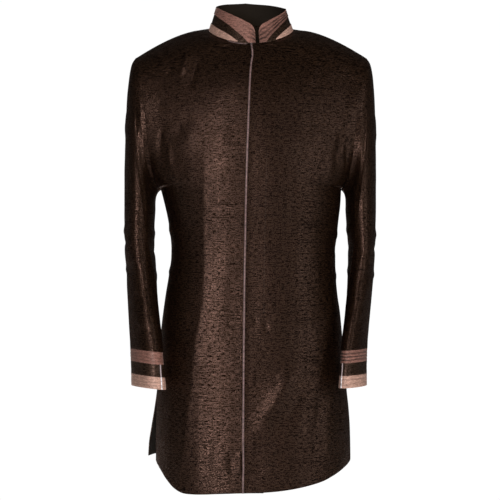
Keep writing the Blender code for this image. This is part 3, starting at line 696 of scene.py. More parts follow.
def armhole_angles(piece):
    """Angles at which the rows of the body reach the armhole, along one piece of the sleeve."""
    levels = yoke_levels()
    back = -90 + 180 * levels
    front = (270 - 180 * levels)[::-1]
    angles = np.concatenate([back, front[1:]])
    from_seam = BACK_SEAM_ROW
    to_seam = len(angles) - 1 - CHEST_ROWS
    if piece == "top":
        return angles[from_seam : to_seam + 1]
    return np.concatenate([angles[to_seam:], angles[1 : from_seam + 1] + 360])


def sleeve_grid(half, piece):
    """Outer points of the top sleeve or the under sleeve, from its lower edge to the armhole."""
    at_armhole = armhole_angles(piece)
    head = np.linspace(0, 1, HEAD_ROWS + 1)
    arm = np.linspace(1, 2, ARM_ROWS + 1)
    rows = []
    for share in np.concatenate([head, arm[1:]])[::-1]:
        z = sleeve_point(half, share, 180)[2]
        front = read(SLEEVE_SEAMS, "front", z)
        back = read(SLEEVE_SEAMS, "back", z)
        first, last = (back, front) if piece == "top" else (front, back + 360)
        even = np.linspace(first, last, len(at_armhole))
        blend = ease(share * 1.4)
        angles = at_armhole + (even - at_armhole) * blend
        rows.append([sleeve_point(half, share, angle) for angle in angles])
    grid = np.array(rows)
    return grid if half == "right" else grid[:, ::-1]


def cuff_line(half, below):
    """Points round a cuff this far below the sleeve, from the front seam on."""
    angles = SLEEVE_SEAMS["front"][0] + np.arange(CUFF_COLUMNS) * 360 / CUFF_COLUMNS
    line = [sleeve_ring(half, sleeve_bottom(half, angle, below), angle) for angle in angles]
    return line if half == "right" else line[::-1]


def collar_point(angle, share):
    """A point of the collar: angle from the front's middle to the wearer's left, share goes up."""
    turn = math.radians(angle)
    from_opening = abs(math.remainder(angle - COLLAR_OPENING, 360))
    base = neckline(angle)
    out = read(COLLAR_TOP, "out", from_opening)
    along = read(COLLAR_TOP, "along", from_opening)
    height = read(COLLAR_TOP, "z", from_opening)
    top = np.array((out * math.sin(turn), along * math.cos(turn), height))
    corner = 1 - min((from_opening - COLLAR_HALF_GAP) / COLLAR_CORNER, 1.0)
    kept = 1 - COLLAR_CORNER_DROP * (1 - math.sqrt(max(1 - corner**2, 0.0)))
    return base + (top - base) * share * kept


def refined(grid, rows, columns):
    """The grid with this many steps in each of its cells, on smooth lines through its points."""
    for axis, steps in ((0, rows), (1, columns)):
        line = np.moveaxis(grid, axis, 0)
        line = np.concatenate([2 * line[:1] - line[1:2], line, 2 * line[-1:] - line[-2:-1]])
        places = np.arange((len(line) - 3) * steps + 1) / steps
        i = np.minimum(places.astype(int), len(line) - 4)
        s = (places - i).reshape(-1, 1, 1)
        a, b, c, d = (line[i + k] for k in range(4))
        curve = 2 * b + (c - a) * s + (2 * a - 5 * b + 4 * c - d) * s**2
        curve = curve + (3 * b - a - 3 * c + d) * s**3
        grid = np.moveaxis(curve / 2, 0, axis)
    return grid


def refined_panel(grid, steps, inner):
    """A front or half the back, refined, with a true corner where its edge meets the neckline."""
    turn = SKIRT_ROWS + CHEST_ROWS
    smooth = refined(grid, *steps)
    below = refined(grid[: turn + 1], *steps)[:-1]
    cornered = np.concatenate([below, refined(grid[turn:], *steps)])
    away = np.abs(np.arange(smooth.shape[1]) / steps[1] - inner)
    near = ease(1 - away / 3)[None, :, None]
    return smooth + (cornered - smooth) * near


def creases():
    """Every crease and dart: its side, whether it is a dart, half-width, rise and path in metres."""
    for sharp, lines in ((False, CREASES), (True, DARTS)):
        for side, rows in lines.items():
            for half_width, rise, *places in rows:
                path = np.reshape(places, (-1, 2)) / 1000
                yield side, sharp, half_width / 1000, rise / 1000, path


def path_places(places, path):
    """How far off a path each place is, how far along it, and the length of the path."""
    off_path = np.full(len(places), np.inf)
    along = np.zeros(len(places))
    gone = 0.0
    for start, end in zip(path, path[1:]):
        run = end - start
        length = np.linalg.norm(run)
        share = np.clip((places - start) @ run / length**2, 0, 1)
        off = np.linalg.norm(places - start - share[:, None] * run, axis=1)
        along = np.where(off < off_path, gone + share * length, along)
        off_path = np.minimum(off_path, off)
        gone += length
    return off_path, along, gone


def crease_lift(points, normals):
    """How far the creases and darts lift the cloth at each point."""
    spots = [Vector(point) * 22.0 for point in points]
    stray = np.array([(noise.noise(spot), noise.noise(spot + STRAY_SHIFT)) for spot in spots])
    lift = np.zeros(len(points))
    for side, sharp, half_width, rise, path in creases():
        axis, toward = SIDES[side]
        facing = ease(normals @ np.array(toward, float) * 1.8 - 0.2)
        places = points[:, (axis, 2)] + stray[:, :2] * (0.0 if sharp else CREASE_STRAY)
        reach = 4 * half_width
        near = (facing > 0) & np.all(places > path.min(axis=0) - reach, axis=1)
        near &= np.all(places < path.max(axis=0) + reach, axis=1)
        if not near.any():
            continue
        off, along, length = path_places(places[near], path)
        if sharp:
            ends = ease(along / DART_FADE) * (1 - 0.5 * ease(1 - (length - along) / DART_FADE))
            shape = np.exp((DART_TOP - np.hypot(off, DART_TOP)) / half_width)
        else:
            fade = 0.35 * length
            ends = ease(along / fade) * ease((length - along) / fade)
            uneven = half_width * (1 + 0.3 * np.sin(along * 70 + rise * 9000))
            shape = np.exp(-((off / uneven) ** 2))
        lift[near] += rise * ends * shape * facing[near]
    return lift


def uneven_lift(points):
    """The soft unevenness of cloth that has been worn."""
    large = [noise.noise(Vector((14 * x, 14 * y, 6 * z))) for x, y, z in points]
    small = [noise.noise(Vector((55 * x + 9, 55 * y, 34 * z))) for x, y, z in points]
    return 0.0011 * np.array(large) + 0.00035 * np.array(small)


def seam_distance(points, seams):
    """How far each point is from the nearest seam point."""
    nearest = np.full(len(points), np.inf)
    for seam in np.concatenate(seams):
        nearest = np.minimum(nearest, np.linalg.norm(points - seam, axis=1))
    return nearest


def smoothed(grid, rounds):
    """The grid with its bends from row to row made rounder."""
    for _ in range(rounds):
        between = (grid[:-2] + 2 * grid[1:-1] + grid[2:]) / 4
        grid = np.concatenate([grid[:1], between, grid[-1:]])
    return grid


def settled(grid, seams, yoke=False):
    """The grid with its creases and unevenness, which die out at the seams, and a rounder yoke."""
    away = seam_distance(grid.reshape(-1, 3), seams)
    if yoke:
        share = ease(away.reshape(grid.shape[:2]) / YOKE_SEAM_FADE)
        share = share * ease((grid[:, :, 2] - YOKE_LOW_Z) / YOKE_FADE)
        grid = grid + (smoothed(grid, YOKE_ROUNDS) - grid) * share[:, :, None]
    normals = normals_of(grid)
    points = grid.reshape(-1, 3)
    lift = crease_lift(points, normals.reshape(-1, 3)) * bpy.context.scene.coat_sizes.crease_depth
    lift = (lift + uneven_lift(points)) * ease(away / SEAM_FADE)
    return grid + normals * lift.reshape(grid.shape[:2])[:, :, None]


def lengths_of(grid, axis):
    """How far along its rows or columns each point of a grid lies."""
    steps = np.linalg.norm(np.diff(grid, axis=axis), axis=2)
    start = np.zeros_like(np.take(steps, [0], axis=axis))
    return np.concatenate([start, np.cumsum(steps, axis=axis)], axis=axis)


def cloth_map(grid, middle=None):
    """Places on the flat cloth of a grid's points: along its rows, and up."""
    across = lengths_of(grid, 1)
    column = grid.shape[1] // 2 if middle is None else middle
    across = across - across[:, [column]]
    steps = np.diff(grid, axis=0)
    sloping = np.linalg.norm(steps[:, :, 1:], axis=2) - np.abs(steps[:, :, 2])
    extra = np.concatenate([np.zeros((1, grid.shape[1])), np.cumsum(sloping, axis=0)])
    return np.stack([across, grid[:, :, 2] + extra.mean(axis=1)[:, None]], axis=2)


def add_piece(name, points, faces, places, finishes, shadow=None):
    """A mesh in the coat's collection, with its map of the cloth and how deep in a tuck it lies, which
    gives the painted shade of its tucks.
    """
    mesh = bpy.data.meshes.new(name)
    mesh.from_pydata(points.tolist(), [], faces)
    if places is not None:
        layer = mesh.uv_layers.new(name="cloth")
        corners = np.empty(len(mesh.loops), np.int32)
        mesh.loops.foreach_get("vertex_index", corners)
        layer.data.foreach_set("uv", places[corners].astype(np.float32).ravel())
    if shadow is not None:
        layer = mesh.attributes.new("shadow", "FLOAT", "POINT")
        layer.data.foreach_set("value", shadow.astype(np.float32).ravel())
    for finish in finishes:
        mesh.materials.append(bpy.data.materials[finish])
    mesh.shade_smooth()
    obj = bpy.data.objects.new(name, mesh)
    bpy.data.collections["coat"].objects.link(obj)
    return obj


def cells(rows, columns, closed=False):
    """Faces of a grid of points."""
    faces = []
    for i in range(rows - 1):
        for j in range(columns if closed else columns - 1):
            k = (j + 1) % columns
            below, above = i * columns, (i + 1) * columns
            faces.append((below + j, below + k, above + k, above + j))
    return faces


def cloth_piece(name, grid, wall, finish, closed=False, middle=None, shadow=None):
    """A wall of cloth on a grid of its outer points, with soft edges, in place of its solid."""
    rows, columns = grid.shape[:2]
    places = cloth_map(grid, middle)
    faces = cells(rows, columns, closed)
    finishes = (finish, "reverse")
    obj = add_piece(name, grid.reshape(-1, 3), faces, places.reshape(-1, 2), finishes, shadow)
    solid = obj.modifiers.new("Wall", "SOLIDIFY")
    solid.thickness = wall
    solid.offset = -1
    solid.use_even_offset = True
    solid.thickness_clamp = 1.5
    solid.material_offset = 1
    edge = obj.modifiers.new("Edge", "BEVEL")
    edge.width = 0.3 * wall
    edge.segments = 2
    edge.limit_method = "ANGLE"
    edge.angle_limit = math.radians(50)
    whole = np.concatenate([grid, grid[:, :1]], axis=1) if closed else grid
    diagonals = np.cross(whole[1:, 1:] - whole[:-1, :-1], whole[1:, :-1] - whole[:-1, 1:])
    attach(obj, "root")
    return obj


def bead(name, first, second, normals, finish):
    """A raised cord between two edge lines, round on top and flat below, with closed ends."""
    shares = np.linspace(0, 1, 9)
    section = [
        first + (second - first) * share + normals * PIPING_RISE * math.sin(math.pi * share) ** 0.6
        for share in shares
    ]
    grid = np.stack(section, axis=1)
    rows, columns = grid.shape[:2]
    faces = cells(rows, columns, closed=True)
    last = (rows - 1) * columns
    faces += [tuple(reversed(range(columns))), tuple(range(last, last + columns))]
    across = np.broadcast_to(shares * 0.006, (rows, columns))
    places = np.stack([across, lengths_of(grid, 0)], axis=2)
    obj = add_piece(name, grid.reshape(-1, 3), faces, places.reshape(-1, 2), (finish,))
    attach(obj, "root")
    return obj


def point_at(along, line, at):
    """The place on a line, or the value beside it, that lies this far along it."""
    return np.array([np.interp(at, along, line[:, k]) for k in range(3)])


def stitches_on(line, normals):
    """Points and faces of a row of stitches along a line that lies on the cloth."""
    along = lengths_of(line[:, None], 0).ravel()
    points, faces = [], []
    for start in np.arange(STITCH_PITCH, along[-1] - STITCH_PITCH, STITCH_PITCH):
        ends = [point_at(along, line, at) for at in (start, start + STITCH_LENGTH)]
        up = point_at(along, normals, start)
        run = (ends[1] - ends[0]) / np.linalg.norm(ends[1] - ends[0])
        aside = np.cross(run, up)
        for share, size in ((0, 0.25), (0.2, 0.9), (0.5, 1), (0.8, 0.9), (1, 0.25)):
            middle = ends[0] + (ends[1] - ends[0]) * share
            for turn in (-90, -30, 30, 90):
                off = aside * math.sin(math.radians(turn)) + up * math.cos(math.radians(turn)) * 0.7
                points.append(middle + off * size * STITCH_WIDTH / 2)
        base = len(points) - 20
        faces += [tuple(base + k for k in face) for face in cells(5, 4)]
    return points, faces


def add_stitches(name, rows, finish):
    """Rows of stitches as one mesh."""
    points, faces = [], []
    for line, normals in rows:
        more, sides = stitches_on(line, normals)
        faces += [tuple(k + len(points) for k in face) for face in sides]
        points += more
    obj = add_piece(name, np.array(points), faces, None, (finish,))
    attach(obj, "root")
    return obj


class Wire:
    """An output of a material's node. Sums and products of it add their own Math nodes."""

    def __init__(self, tree, socket):
        self.tree = tree
        self.socket = socket

    def node(self, kind, inputs, output=0, **settings):
        """An output of a new node of this kind, with its settings and its sockets' values or links."""
        made = self.tree.nodes.new(kind)
        for name, value in settings.items():
            setattr(made, name, value)
        for name, value in inputs.items():
            if isinstance(value, Wire):
                self.tree.links.new(value.socket, made.inputs[name])
            else:
                made.inputs[name].default_value = value
        return Wire(self.tree, made.outputs[output])

    def math(self, operation, first, second):
        """An output of a new Math node."""
        return self.node("ShaderNodeMath", {0: first, 1: second}, operation=operation)

    def __add__(self, other):
        return self.math("ADD", self, other)

    def __mul__(self, other):
        return self.math("MULTIPLY", self, other)

    def __sub__(self, other):
        return self.math("SUBTRACT", self, other)

    def __rsub__(self, other):
        return self.math("SUBTRACT", other, self)

    __radd__ = __add__
    __rmul__ = __mul__

    def noise(self, across, up, detail=2.0):
        """Noise from 0 to 1 with this many waves a metre across and up the cloth."""
        fineness = {0: self, 1: (across, up, 1)}
        place = self.node("ShaderNodeVectorMath", fineness, operation="MULTIPLY")
        inputs = {"Vector": place, "Scale": 1.0, "Detail": detail, "Roughness": 0.6}
        return self.node("ShaderNodeTexNoise", inputs, noise_dimensions="2D")

    def step(self, low, high):
        """0 below low, 1 above high, and smooth between them."""
        inputs = {0: self, 1: low, 2: high}
        return self.node("ShaderNodeMapRange", inputs, interpolation_type="SMOOTHSTEP")

    def clamped(self, low, high):
        """This, but never below low or above high."""
        return self.node("ShaderNodeClamp", {"Value": self, "Min": low, "Max": high})

    def feed(self, shader, name):
        """Links this to an input of a shader."""
        self.tree.links.new(self.socket, shader.inputs[name])

    def shade(self, shader, colour):
        """Gives a shader this much of a colour."""
        inputs = {0: colour, "Scale": self}
        self.node("ShaderNodeVectorMath", inputs, operation="SCALE").feed(shader, "Base Color")

    def raise_by(self, shader, strength, distance):
        """Gives a shader bumps of this height."""
        inputs = {"Height": self, "Strength": strength, "Distance": distance}
        self.node("ShaderNodeBump", inputs).feed(shader, "Normal")


def new_finish(name, roughness, sheen=0.0, specular=0.5):
    """The shader of a new material and the place on the cloth."""
    material = bpy.data.materials.new(name)
    material.use_nodes = True
    shader = material.node_tree.nodes["Principled BSDF"]
    shader.inputs["Roughness"].default_value = roughness
    shader.inputs["Sheen Weight"].default_value = sheen
    shader.inputs["Sheen Roughness"].default_value = 0.4
    shader.inputs["Specular IOR Level"].default_value = specular
    start = Wire(material.node_tree, None)
    return shader, start.node("ShaderNodeUVMap", {}, uv_map="cloth")


def silk_finish(name, colour, slub_depth, roughness, sheen, specular, tint, grain_depth, dullness):
    """Raw silk: fine threads both ways, short slubs along the weft, a grain and slow changes, darkened by
    painted shade in the folds of tucks.
    """
    shader, cloth = new_finish(name, roughness, sheen, specular)
    shader.inputs["Specular Tint"].default_value = (*tint, 1)
    weft = cloth.noise(45, 1500, 1.0)
    warp = cloth.noise(1500, 50, 1.0)
    slub = cloth.noise(11, 330, 3.0)
    short = cloth.noise(55, 560, 2.0)
    grain = cloth.noise(110, 560, 2.0)
    speck = cloth.noise(420, 700, 1.0)
    blotch = cloth.noise(14, 20, 3.0)
    dark = slub.step(0.57, 0.68)
    light = 1 - slub.step(0.30, 0.42)
    nubs = short.step(0.60, 0.72)
    coarse = grain + speck - 1.0
    shade = 1.0 + coarse * (6.5 * grain_depth) + (blotch - 0.5) * 0.5 + (weft + warp - 1.0) * 0.5
    shade = shade + light * (0.45 * slub_depth) - dark * (0.6 * slub_depth)
    shade = shade - nubs * (0.35 * slub_depth)
    # Painted shade: the base colour is darkened where the shadow attribute marks the fold under a tuck.
    fold = cloth.node("ShaderNodeAttribute", {}, output="Fac", attribute_name="shadow")
    (shade * (1 - fold * 0.85)).clamped(0.05, 4.0).shade(shader, colour)
    rough = coarse * (-0.7 * grain_depth) + (dark + nubs) * (0.16 * slub_depth) + roughness
    rough.feed(shader, "Roughness")
    dull = (coarse * -4.0 + (dark + nubs) * 0.45 + 0.30) * dullness
    dull.clamped(0.0, 0.9).feed(shader, "Metallic")
    height = weft * 0.5 + warp * 0.3 + (grain * 4.0 + speck * 3.0) * (2 * grain_depth)
    height = height + dark * 0.8 - light * 0.5 + nubs * 0.8
    height.raise_by(shader, 0.8, 0.0001)


def reverse_finish(colour):
    """The dull inner side of the silk and its backing."""
    shader, cloth = new_finish("reverse", 0.85, 0.0, 0.15)
    weave = cloth.noise(700, 700, 2.0)
    (0.7 + weave * 0.4 + cloth.noise(20, 20, 2.0) * 0.25).shade(shader, colour)
    weave.raise_by(shader, 0.4, 0.0003)


def piping_finish(name, colour):
    """Satin piping with its threads wound across it."""
    shader, cloth = new_finish(name, 0.42, 0.15, 0.4)
    thread = cloth.noise(120, 1300, 1.0)
    (thread * 0.5 + cloth.noise(60, 230, 2.0) * 2.6 - 0.45).shade(shader, colour)
    thread.raise_by(shader, 0.6, 0.0003)


def thread_finish(name, colour):
    """Sewing thread with its twist."""
    shader, cloth = new_finish(name, 0.5)
    place = cloth.node("ShaderNodeTexCoord", {}, output="Object")
    twist = place.node("ShaderNodeTexNoise", {"Vector": place, "Scale": 900.0, "Detail": 1.0})
    (0.6 + twist * 0.8).shade(shader, colour)


def colour_property(name, description, default):
    """A colour that a user may change."""
    return FloatVectorProperty(
        name=name, description=description, default=default, subtype="COLOR", size=3, min=0, max=1
    )


class CoatSizes(PropertyGroup):
    """Sizes of the cloth and the sewing."""

    wall: FloatProperty(
        name="Silk", description="Thickness of the silk with its backing", default=WALL, unit="LENGTH"
    )
    trim: FloatProperty(
        name="Trim", description="Thickness of the sewn-on strips", default=TRIM_WALL, unit="LENGTH"
    )
    crease_depth: FloatProperty(
        name="Creases", description="How deep the creases are", default=1.0, subtype="FACTOR"
    )


class CoatColours(PropertyGroup):
    """Colours of the cloth and the trim."""

    silk: colour_property("Silk", "Silk of the panels and the sleeves", (0.0105, 0.0052, 0.0026))
    rose: colour_property("Rose", "Upper cuff bands, top of the collar", (0.250, 0.122, 0.096))
    pale_rose: colour_property("Pale rose", "Lower cuff bands, foot of the collar", (0.500, 0.306, 0.242))
    band: colour_property("Band", "Middle cuff bands and the collar band", (0.0170, 0.0096, 0.0056))
    piping: colour_property("Piping", "Piping on the front edge and the neck", (0.170, 0.108, 0.104))
    mauve: colour_property("Mauve piping", "Piping on the middle cuff bands", (0.330, 0.255, 0.300))
    white: colour_property("White piping", "Piping on the lowest cuff bands", (0.900, 0.860, 0.880))
    reverse: colour_property("Reverse", "Inner side of the coat", (0.014, 0.010, 0.0065))


class CoatOperator:
    """What every operator of the coat has in common."""

    bl_options = {"REGISTER", "UNDO"}


class COAT_OT_finishes(CoatOperator, Operator):
    """Makes the materials"""

    bl_idname = "coat.finishes"
    bl_label = "Silk and Trim Materials"

    def execute(self, context):
        colours = context.scene.coat_colours
        silk_finish("silk", colours.silk, 1.0, 0.39, 0.0, 0.5, (1.0, 0.64, 0.52), 0.7, 1.0)
        silk_finish("band_silk", colours.band, 0.5, 0.46, 0.0, 0.5, (1.0, 0.68, 0.56), 0.5, 0.6)
        silk_finish("rose", colours.rose, 0.5, 0.46, 0.05, 0.35, (1.0, 0.86, 0.82), 0.25, 0.0)
        pale = colours.pale_rose
        silk_finish("pale_rose", pale, 0.4, 0.48, 0.05, 0.35, (1.0, 0.9, 0.86), 0.2, 0.0)
        reverse_finish(colours.reverse)
        piping_finish("piping", colours.piping)
        piping_finish("mauve_piping", colours.mauve)
        piping_finish("white_piping", colours.white)
        thread_finish("brown_thread", [3.0 * part for part in colours.silk])
        thread_finish("rose_thread", colours.rose)
        bpy.context.scene.collection.children.link(bpy.data.collections.new("coat"))
        return {"FINISHED"}


def seam_points(side):
    """Points of the seams round one half of the body: side seam, armhole, shoulder and neck."""
    neck = [neckline(side * angle) for angle in range(0, 181, 4)]
    shoulder = spread_row("front", side, 1.0, body_row("front", side, 1.0)[0][0], 40)
    below = [body_row("front", side, level)[1] for level in np.linspace(-1, 0, 120)]
    return np.concatenate([armhole_line(side), neck, shoulder, below])


def ridge(away, rise, half_width):
    """A raised line, by the distance from it."""
    return rise * np.exp(-((away / half_width) ** 2))


def finished_front(half):
    """Outer points of one front, finely, with its creases. The left one stands up at its edge."""
    side = 1 if half == "left" else -1
    inner = 0 if half == "left" else FRONT_COLUMNS
    grid = refined_panel(front_grid(side), STEPS["front"], inner)
    grid = settled(grid, [seam_points(side)], yoke=True)
    if half == "left":
        from_edge = lengths_of(grid, 1)
        below_neck = ease((grid[:, :1, 2] * -1 - 0.03) / 0.02)
        swell, reach = EDGE_SWELL
        rise = (ridge(from_edge, *EDGE_RIDGE) + swell * np.exp(-from_edge / reach)) * below_neck
        grid = grid + normals_of(grid) * rise[:, :, None]
    return grid


def edge_line(grid, column, inward):
    """A column of a grid, its normals, and the unit way from its points to the column beside it."""
    run = unit(grid[:, inward] - grid[:, column])
    return grid[:, column], normals_of(grid)[:, column], run


class COAT_OT_fronts(CoatOperator, Operator):
    """Makes the two fronts and the piping on the lapping edge and the neck seam"""

    bl_idname = "coat.fronts"
    bl_label = "Fronts"

    def execute(self, context):
        wall = context.scene.coat_sizes.wall
        grids = {half: finished_front(half) for half in ("right", "left")}
        for half, grid in grids.items():
            middle = 0 if half == "left" else -1
            obj = cloth_piece(f"Front_{half}", grid, wall, "silk", middle=middle)
            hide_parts(f"front_{half}")
        rows = (SKIRT_ROWS + CHEST_ROWS) * STEPS["front"][0] + 1
        edge, normals, run = edge_line(grids["left"][:rows], 0, 1)
        edge = edge + normals * CLEARANCE
        obj = bead("Front_piping", edge, edge + run * EDGE_PIPING_WIDTH, normals, "piping")
        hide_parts("front_piping")
        neck = grids["right"][rows - 1 :][: 2 * STEPS["front"][0] + 1]
        edge, normals, run = edge_line(neck, -1, -2)
        edge = edge + run * NECK_PIPING_START + normals * CLEARANCE
        beyond = edge[:, 0] < -NECK_PIPING_END
        lines = [line[beyond] for line in (edge + run * NECK_PIPING_WIDTH, edge, normals)]
        obj = bead("Neck_piping", *lines, "piping")
        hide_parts("neck_piping")
        return {"FINISHED"}


def finished_back():
    """Outer points of the back, finely, with its creases. Then the column at which it parts at the
    neck, and how many rows below the neck are joined there."""
    grid = back_grid()
    middle = BACK_COLUMNS // 2
    below = SKIRT_ROWS + CHEST_ROWS + 1
    left = np.concatenate([grid[:, : middle + 1], grid[:, [middle + 2]]], axis=1)
    right = np.concatenate([grid[:, [middle - 1]], grid[:, middle + 1 :]], axis=1)
    for half, column, ends in ((left, -1, (-2, -3)), (right, 0, (1, 2))):
        half[below:, column] = 2 * half[below:, ends[0]] - half[below:, ends[1]]
    steps = STEPS["back"]
    left = refined_panel(left, steps, middle)[:, : -steps[1]]
    right = refined_panel(right, steps, 1)[:, steps[1] :]
    grid = settled(np.concatenate([left, right], axis=1), [seam_points(1), seam_points(-1)])
    parted = left.shape[1] - 1
    joined = (below - 1) * steps[0] + 1
    meeting = (grid[:joined, parted] + grid[:joined, parted + 1]) / 2
    grid[:joined, parted] = meeting
    grid[:joined, parted + 1] = meeting
    return grid, parted, joined


def weld_middle(mesh, grid, parted, joined):
    """Takes out the faces between the two middle columns and joins these below the neck."""
    weld = bmesh.new()
    weld.from_mesh(mesh)
    rows, columns = grid.shape[:2]
    weld.faces.ensure_lookup_table()
    gaps = [weld.faces[i * (columns - 1) + parted] for i in range(rows - 1)]
    bmesh.ops.delete(weld, geom=gaps, context="FACES")
    weld.verts.ensure_lookup_table()
    pairs = [weld.verts[i * columns + parted + k] for i in range(joined) for k in (0, 1)]
    bmesh.ops.remove_doubles(weld, verts=pairs, dist=0.00001)
    weld.to_mesh(mesh)
    weld.free()


class COAT_OT_back(CoatOperator, Operator):
    """Makes the back"""

    bl_idname = "coat.back"
    bl_label = "Back"

    def execute(self, context):
        grid, parted, joined = finished_back()
        obj = cloth_piece("Back", grid, context.scene.coat_sizes.wall, "silk")
        weld_middle(obj.data, grid, parted, joined)
        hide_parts("back")
        return {"FINISHED"}


class COAT_OT_sleeves(CoatOperator, Operator):
    """Makes the two pieces of each sleeve, with a raised seam in front"""

    bl_idname = "coat.sleeves"
    bl_label = "Sleeves"

    def execute(self, context):
        wall = context.scene.coat_sizes.wall
        for half in ("right", "left"):
            side = 1 if half == "left" else -1
            grids = {}
            for piece in ("top", "under"):
                grids[piece] = refined(sleeve_grid(half, piece), *STEPS["sleeve"])
            last = -1 if half == "right" else 0
            front_seam = grids["top"][:, last]
            back_seam = grids["top"][:, -1 - last]
            seams = [front_seam, back_seam, armhole_line(side), grids["top"][0], grids["under"][0]]
            for piece, grid in grids.items():
                grid = settled(grid, seams)
                column = last if piece == "top" else -1 - last
                away = np.abs(lengths_of(grid, 1) - lengths_of(grid, 1)[:, [column]])
                fade = ease((SLEEVE_SEAM_TOP_Z - grid[:, [column], 2]) / 0.05)
                rise = ridge(away, *SLEEVE_SEAM_RIDGE) * fade
                grid = grid + normals_of(grid) * rise[:, :, None]
                name = f"sleeve_{piece}_{half}"
                obj = cloth_piece(name.capitalize(), grid, wall, "silk")
                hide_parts(name)
        return {"FINISHED"}


def tuck_depth(height, tucks):
    """How deep in the fold under a tuck each height up a band is, from 0 to 1."""
    total = height[-1]
    folds = [total * (k + 1) / (tucks + 1) for k in range(tucks)]
    return sum(ridge(height - fold, 1.0, TUCK_HALF_WIDTH) for fold in folds)


def uneven_fold(grid, height, tucks, strength):
    """How deep each point is in the folds under the tucks, which wander and vary in strength. It sets
    their dip and the painted shade in them.
    """
    depth = np.empty(grid.shape[:2])
    for j in range(grid.shape[1]):
        x, y, z = grid[0, j]
        stray = noise.noise(Vector((30 * x, 30 * y, 30 * z)))
        press = 0.75 + 0.5 * noise.noise(Vector((45 * x + 5, 45 * y, 45 * z)))
        depth[:, j] = tuck_depth(height + TUCK_STRAY * stray, tucks) * press
    return depth * strength


def cuff_band(half, band, top, length):
    """Outer points of one band of a cuff, their normals, and how deep in a tuck each point is, which
    gives the painted shade there.
    """
    below = np.linspace(top + length, top, CUFF_ROWS)
    grid = np.array([cuff_line(half, at) for at in below])
    joined = np.concatenate([grid[:, -2:], grid, grid[:, :2]], axis=1)
    normals = normals_of(joined)[:, 2:-2]
    height = below[0] - below
    shadow = uneven_fold(grid, height, *CUFF_TUCKS[half][band])
    soft = [noise.noise(Vector((40 * x, 40 * y, 60 * z))) for x, y, z in grid.reshape(-1, 3)]
    inside = np.sin(math.pi * np.clip(height / length, 0, 1))[:, None]
    lift = CUFF_UNEVENNESS * np.array(soft).reshape(shadow.shape) * inside
    lift = lift - CUFF_TUCK_DEPTH * shadow
    return grid + normals * lift[:, :, None], normals, shadow


class COAT_OT_cuffs(CoatOperator, Operator):
    """Makes the three bands of each cuff and the piping on its front seam"""

    bl_idname = "coat.cuffs"
    bl_label = "Cuffs"

    def execute(self, context):
        wall = context.scene.coat_sizes.wall
        for half in ("right", "left"):
            top = 0.0
            bands = {}
            for (band, length), finish in zip(CUFF_BANDS, ("rose", "band_silk", "pale_rose")):
                grid, normals, shadow = cuff_band(half, band, top, length)
                name = f"cuff_{band}_{half}"
                piece = name.capitalize()
                obj = cloth_piece(
                    piece, grid, wall, finish, closed=True, shadow=shadow
                )
                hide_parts(name)
                bands[band] = (grid, normals)
                top += length
            near, far = -CUFF_PIPING_COLUMN, -CUFF_PIPING_COLUMN - 1
            if half == "left":
                near, far = CUFF_PIPING_COLUMN - 1, CUFF_PIPING_COLUMN
            for band, finish in (("middle", "mauve_piping"), ("lower", "white_piping")):
                grid, normals = bands[band]
                run = unit(grid[:, far] - grid[:, near])
                start = grid[:, near] + run * CUFF_PIPING_START + normals[:, near] * CLEARANCE
                end = start + run * CUFF_PIPING_WIDTH
                lines = (end, start) if half == "right" else (start, end)
                bead(f"Cuff_piping_{band}_{half}", *lines, normals[:, near], finish)
            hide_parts(f"cuff_piping_{half}")
        return {"FINISHED"}


def collar_grid(start=COLLAR_HALF_GAP, low=None, high=None, rows=21):
    """Outer points of the collar band, or of the part above or below a line of the strips' table."""
    places = start + (180 - start) * np.linspace(0, 1, 150) ** 1.5
    angles = COLLAR_OPENING + np.concatenate([places, 360 - places[-2::-1]])
    lines = []
    for angle in angles:
        place = abs(math.remainder(angle - COLLAR_OPENING, 360))
        bottom = STRIP_FOOT if low or high else 0.0
        if low:
            bottom = max(read(COLLAR_STRIPS, low, place), bottom)
        top = read(COLLAR_STRIPS, high, place) if high else 1.0
        lines.append([collar_point(angle, share) for share in np.linspace(bottom, top, rows)])
    return np.array(lines).swapaxes(0, 1)


class COAT_OT_collar(CoatOperator, Operator):
    """Makes the standing collar and its two strips"""

    bl_idname = "coat.collar"
    bl_label = "Collar"

    def execute(self, context):
        sizes = context.scene.coat_sizes
        grid = collar_grid()
        obj = cloth_piece("Collar_band", grid, sizes.wall, "band_silk")
        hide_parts("collar_band")
        strips = (
            ("top", {"low": "top"}, "rose"),
            ("bottom", {"start": BOTTOM_STRIP_START, "high": "bottom"}, "pale_rose"),
        )
        for name, limits, finish in strips:
            grid = collar_grid(**limits, rows=STRIP_ROWS)
            height = lengths_of(grid, 0).mean(axis=1)
            tucks, strength = COLLAR_TUCKS[name]
            # Share of the wearer's left side, where the tucks dip deeper and carry stronger painted
            # shade.
            left_tucks_and_shade = ease(grid[:, :, 0] / 0.02 + 0.5)
            shadow = uneven_fold(grid, height, tucks, strength * (0.25 + 0.75 * left_tucks_and_shade))
            lift = TRIM_LIFT - COLLAR_TUCK_DEPTH * shadow
            # Painted shade: on the wearer's left the top strip is darkened towards its foot.
            if name == "top":
                shadow += 0.55 * left_tucks_and_shade * (1 - height / height[-1])[:, None]
            grid = grid + normals_of(grid) * lift[:, :, None]
            piece = f"Collar_strip_{name}"
            obj = cloth_piece(
                piece, grid, sizes.trim, finish, shadow=shadow
            )
            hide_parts(f"collar_strip_{name}")
        return {"FINISHED"}


def grid_of(name, rows=-1, columns=-1):
    """The outer points of a piece that is already made, by its rows and columns."""
    vertices = bpy.data.objects[name].data.vertices
    return np.array([vertex.co for vertex in vertices]).reshape(rows, columns, 3)


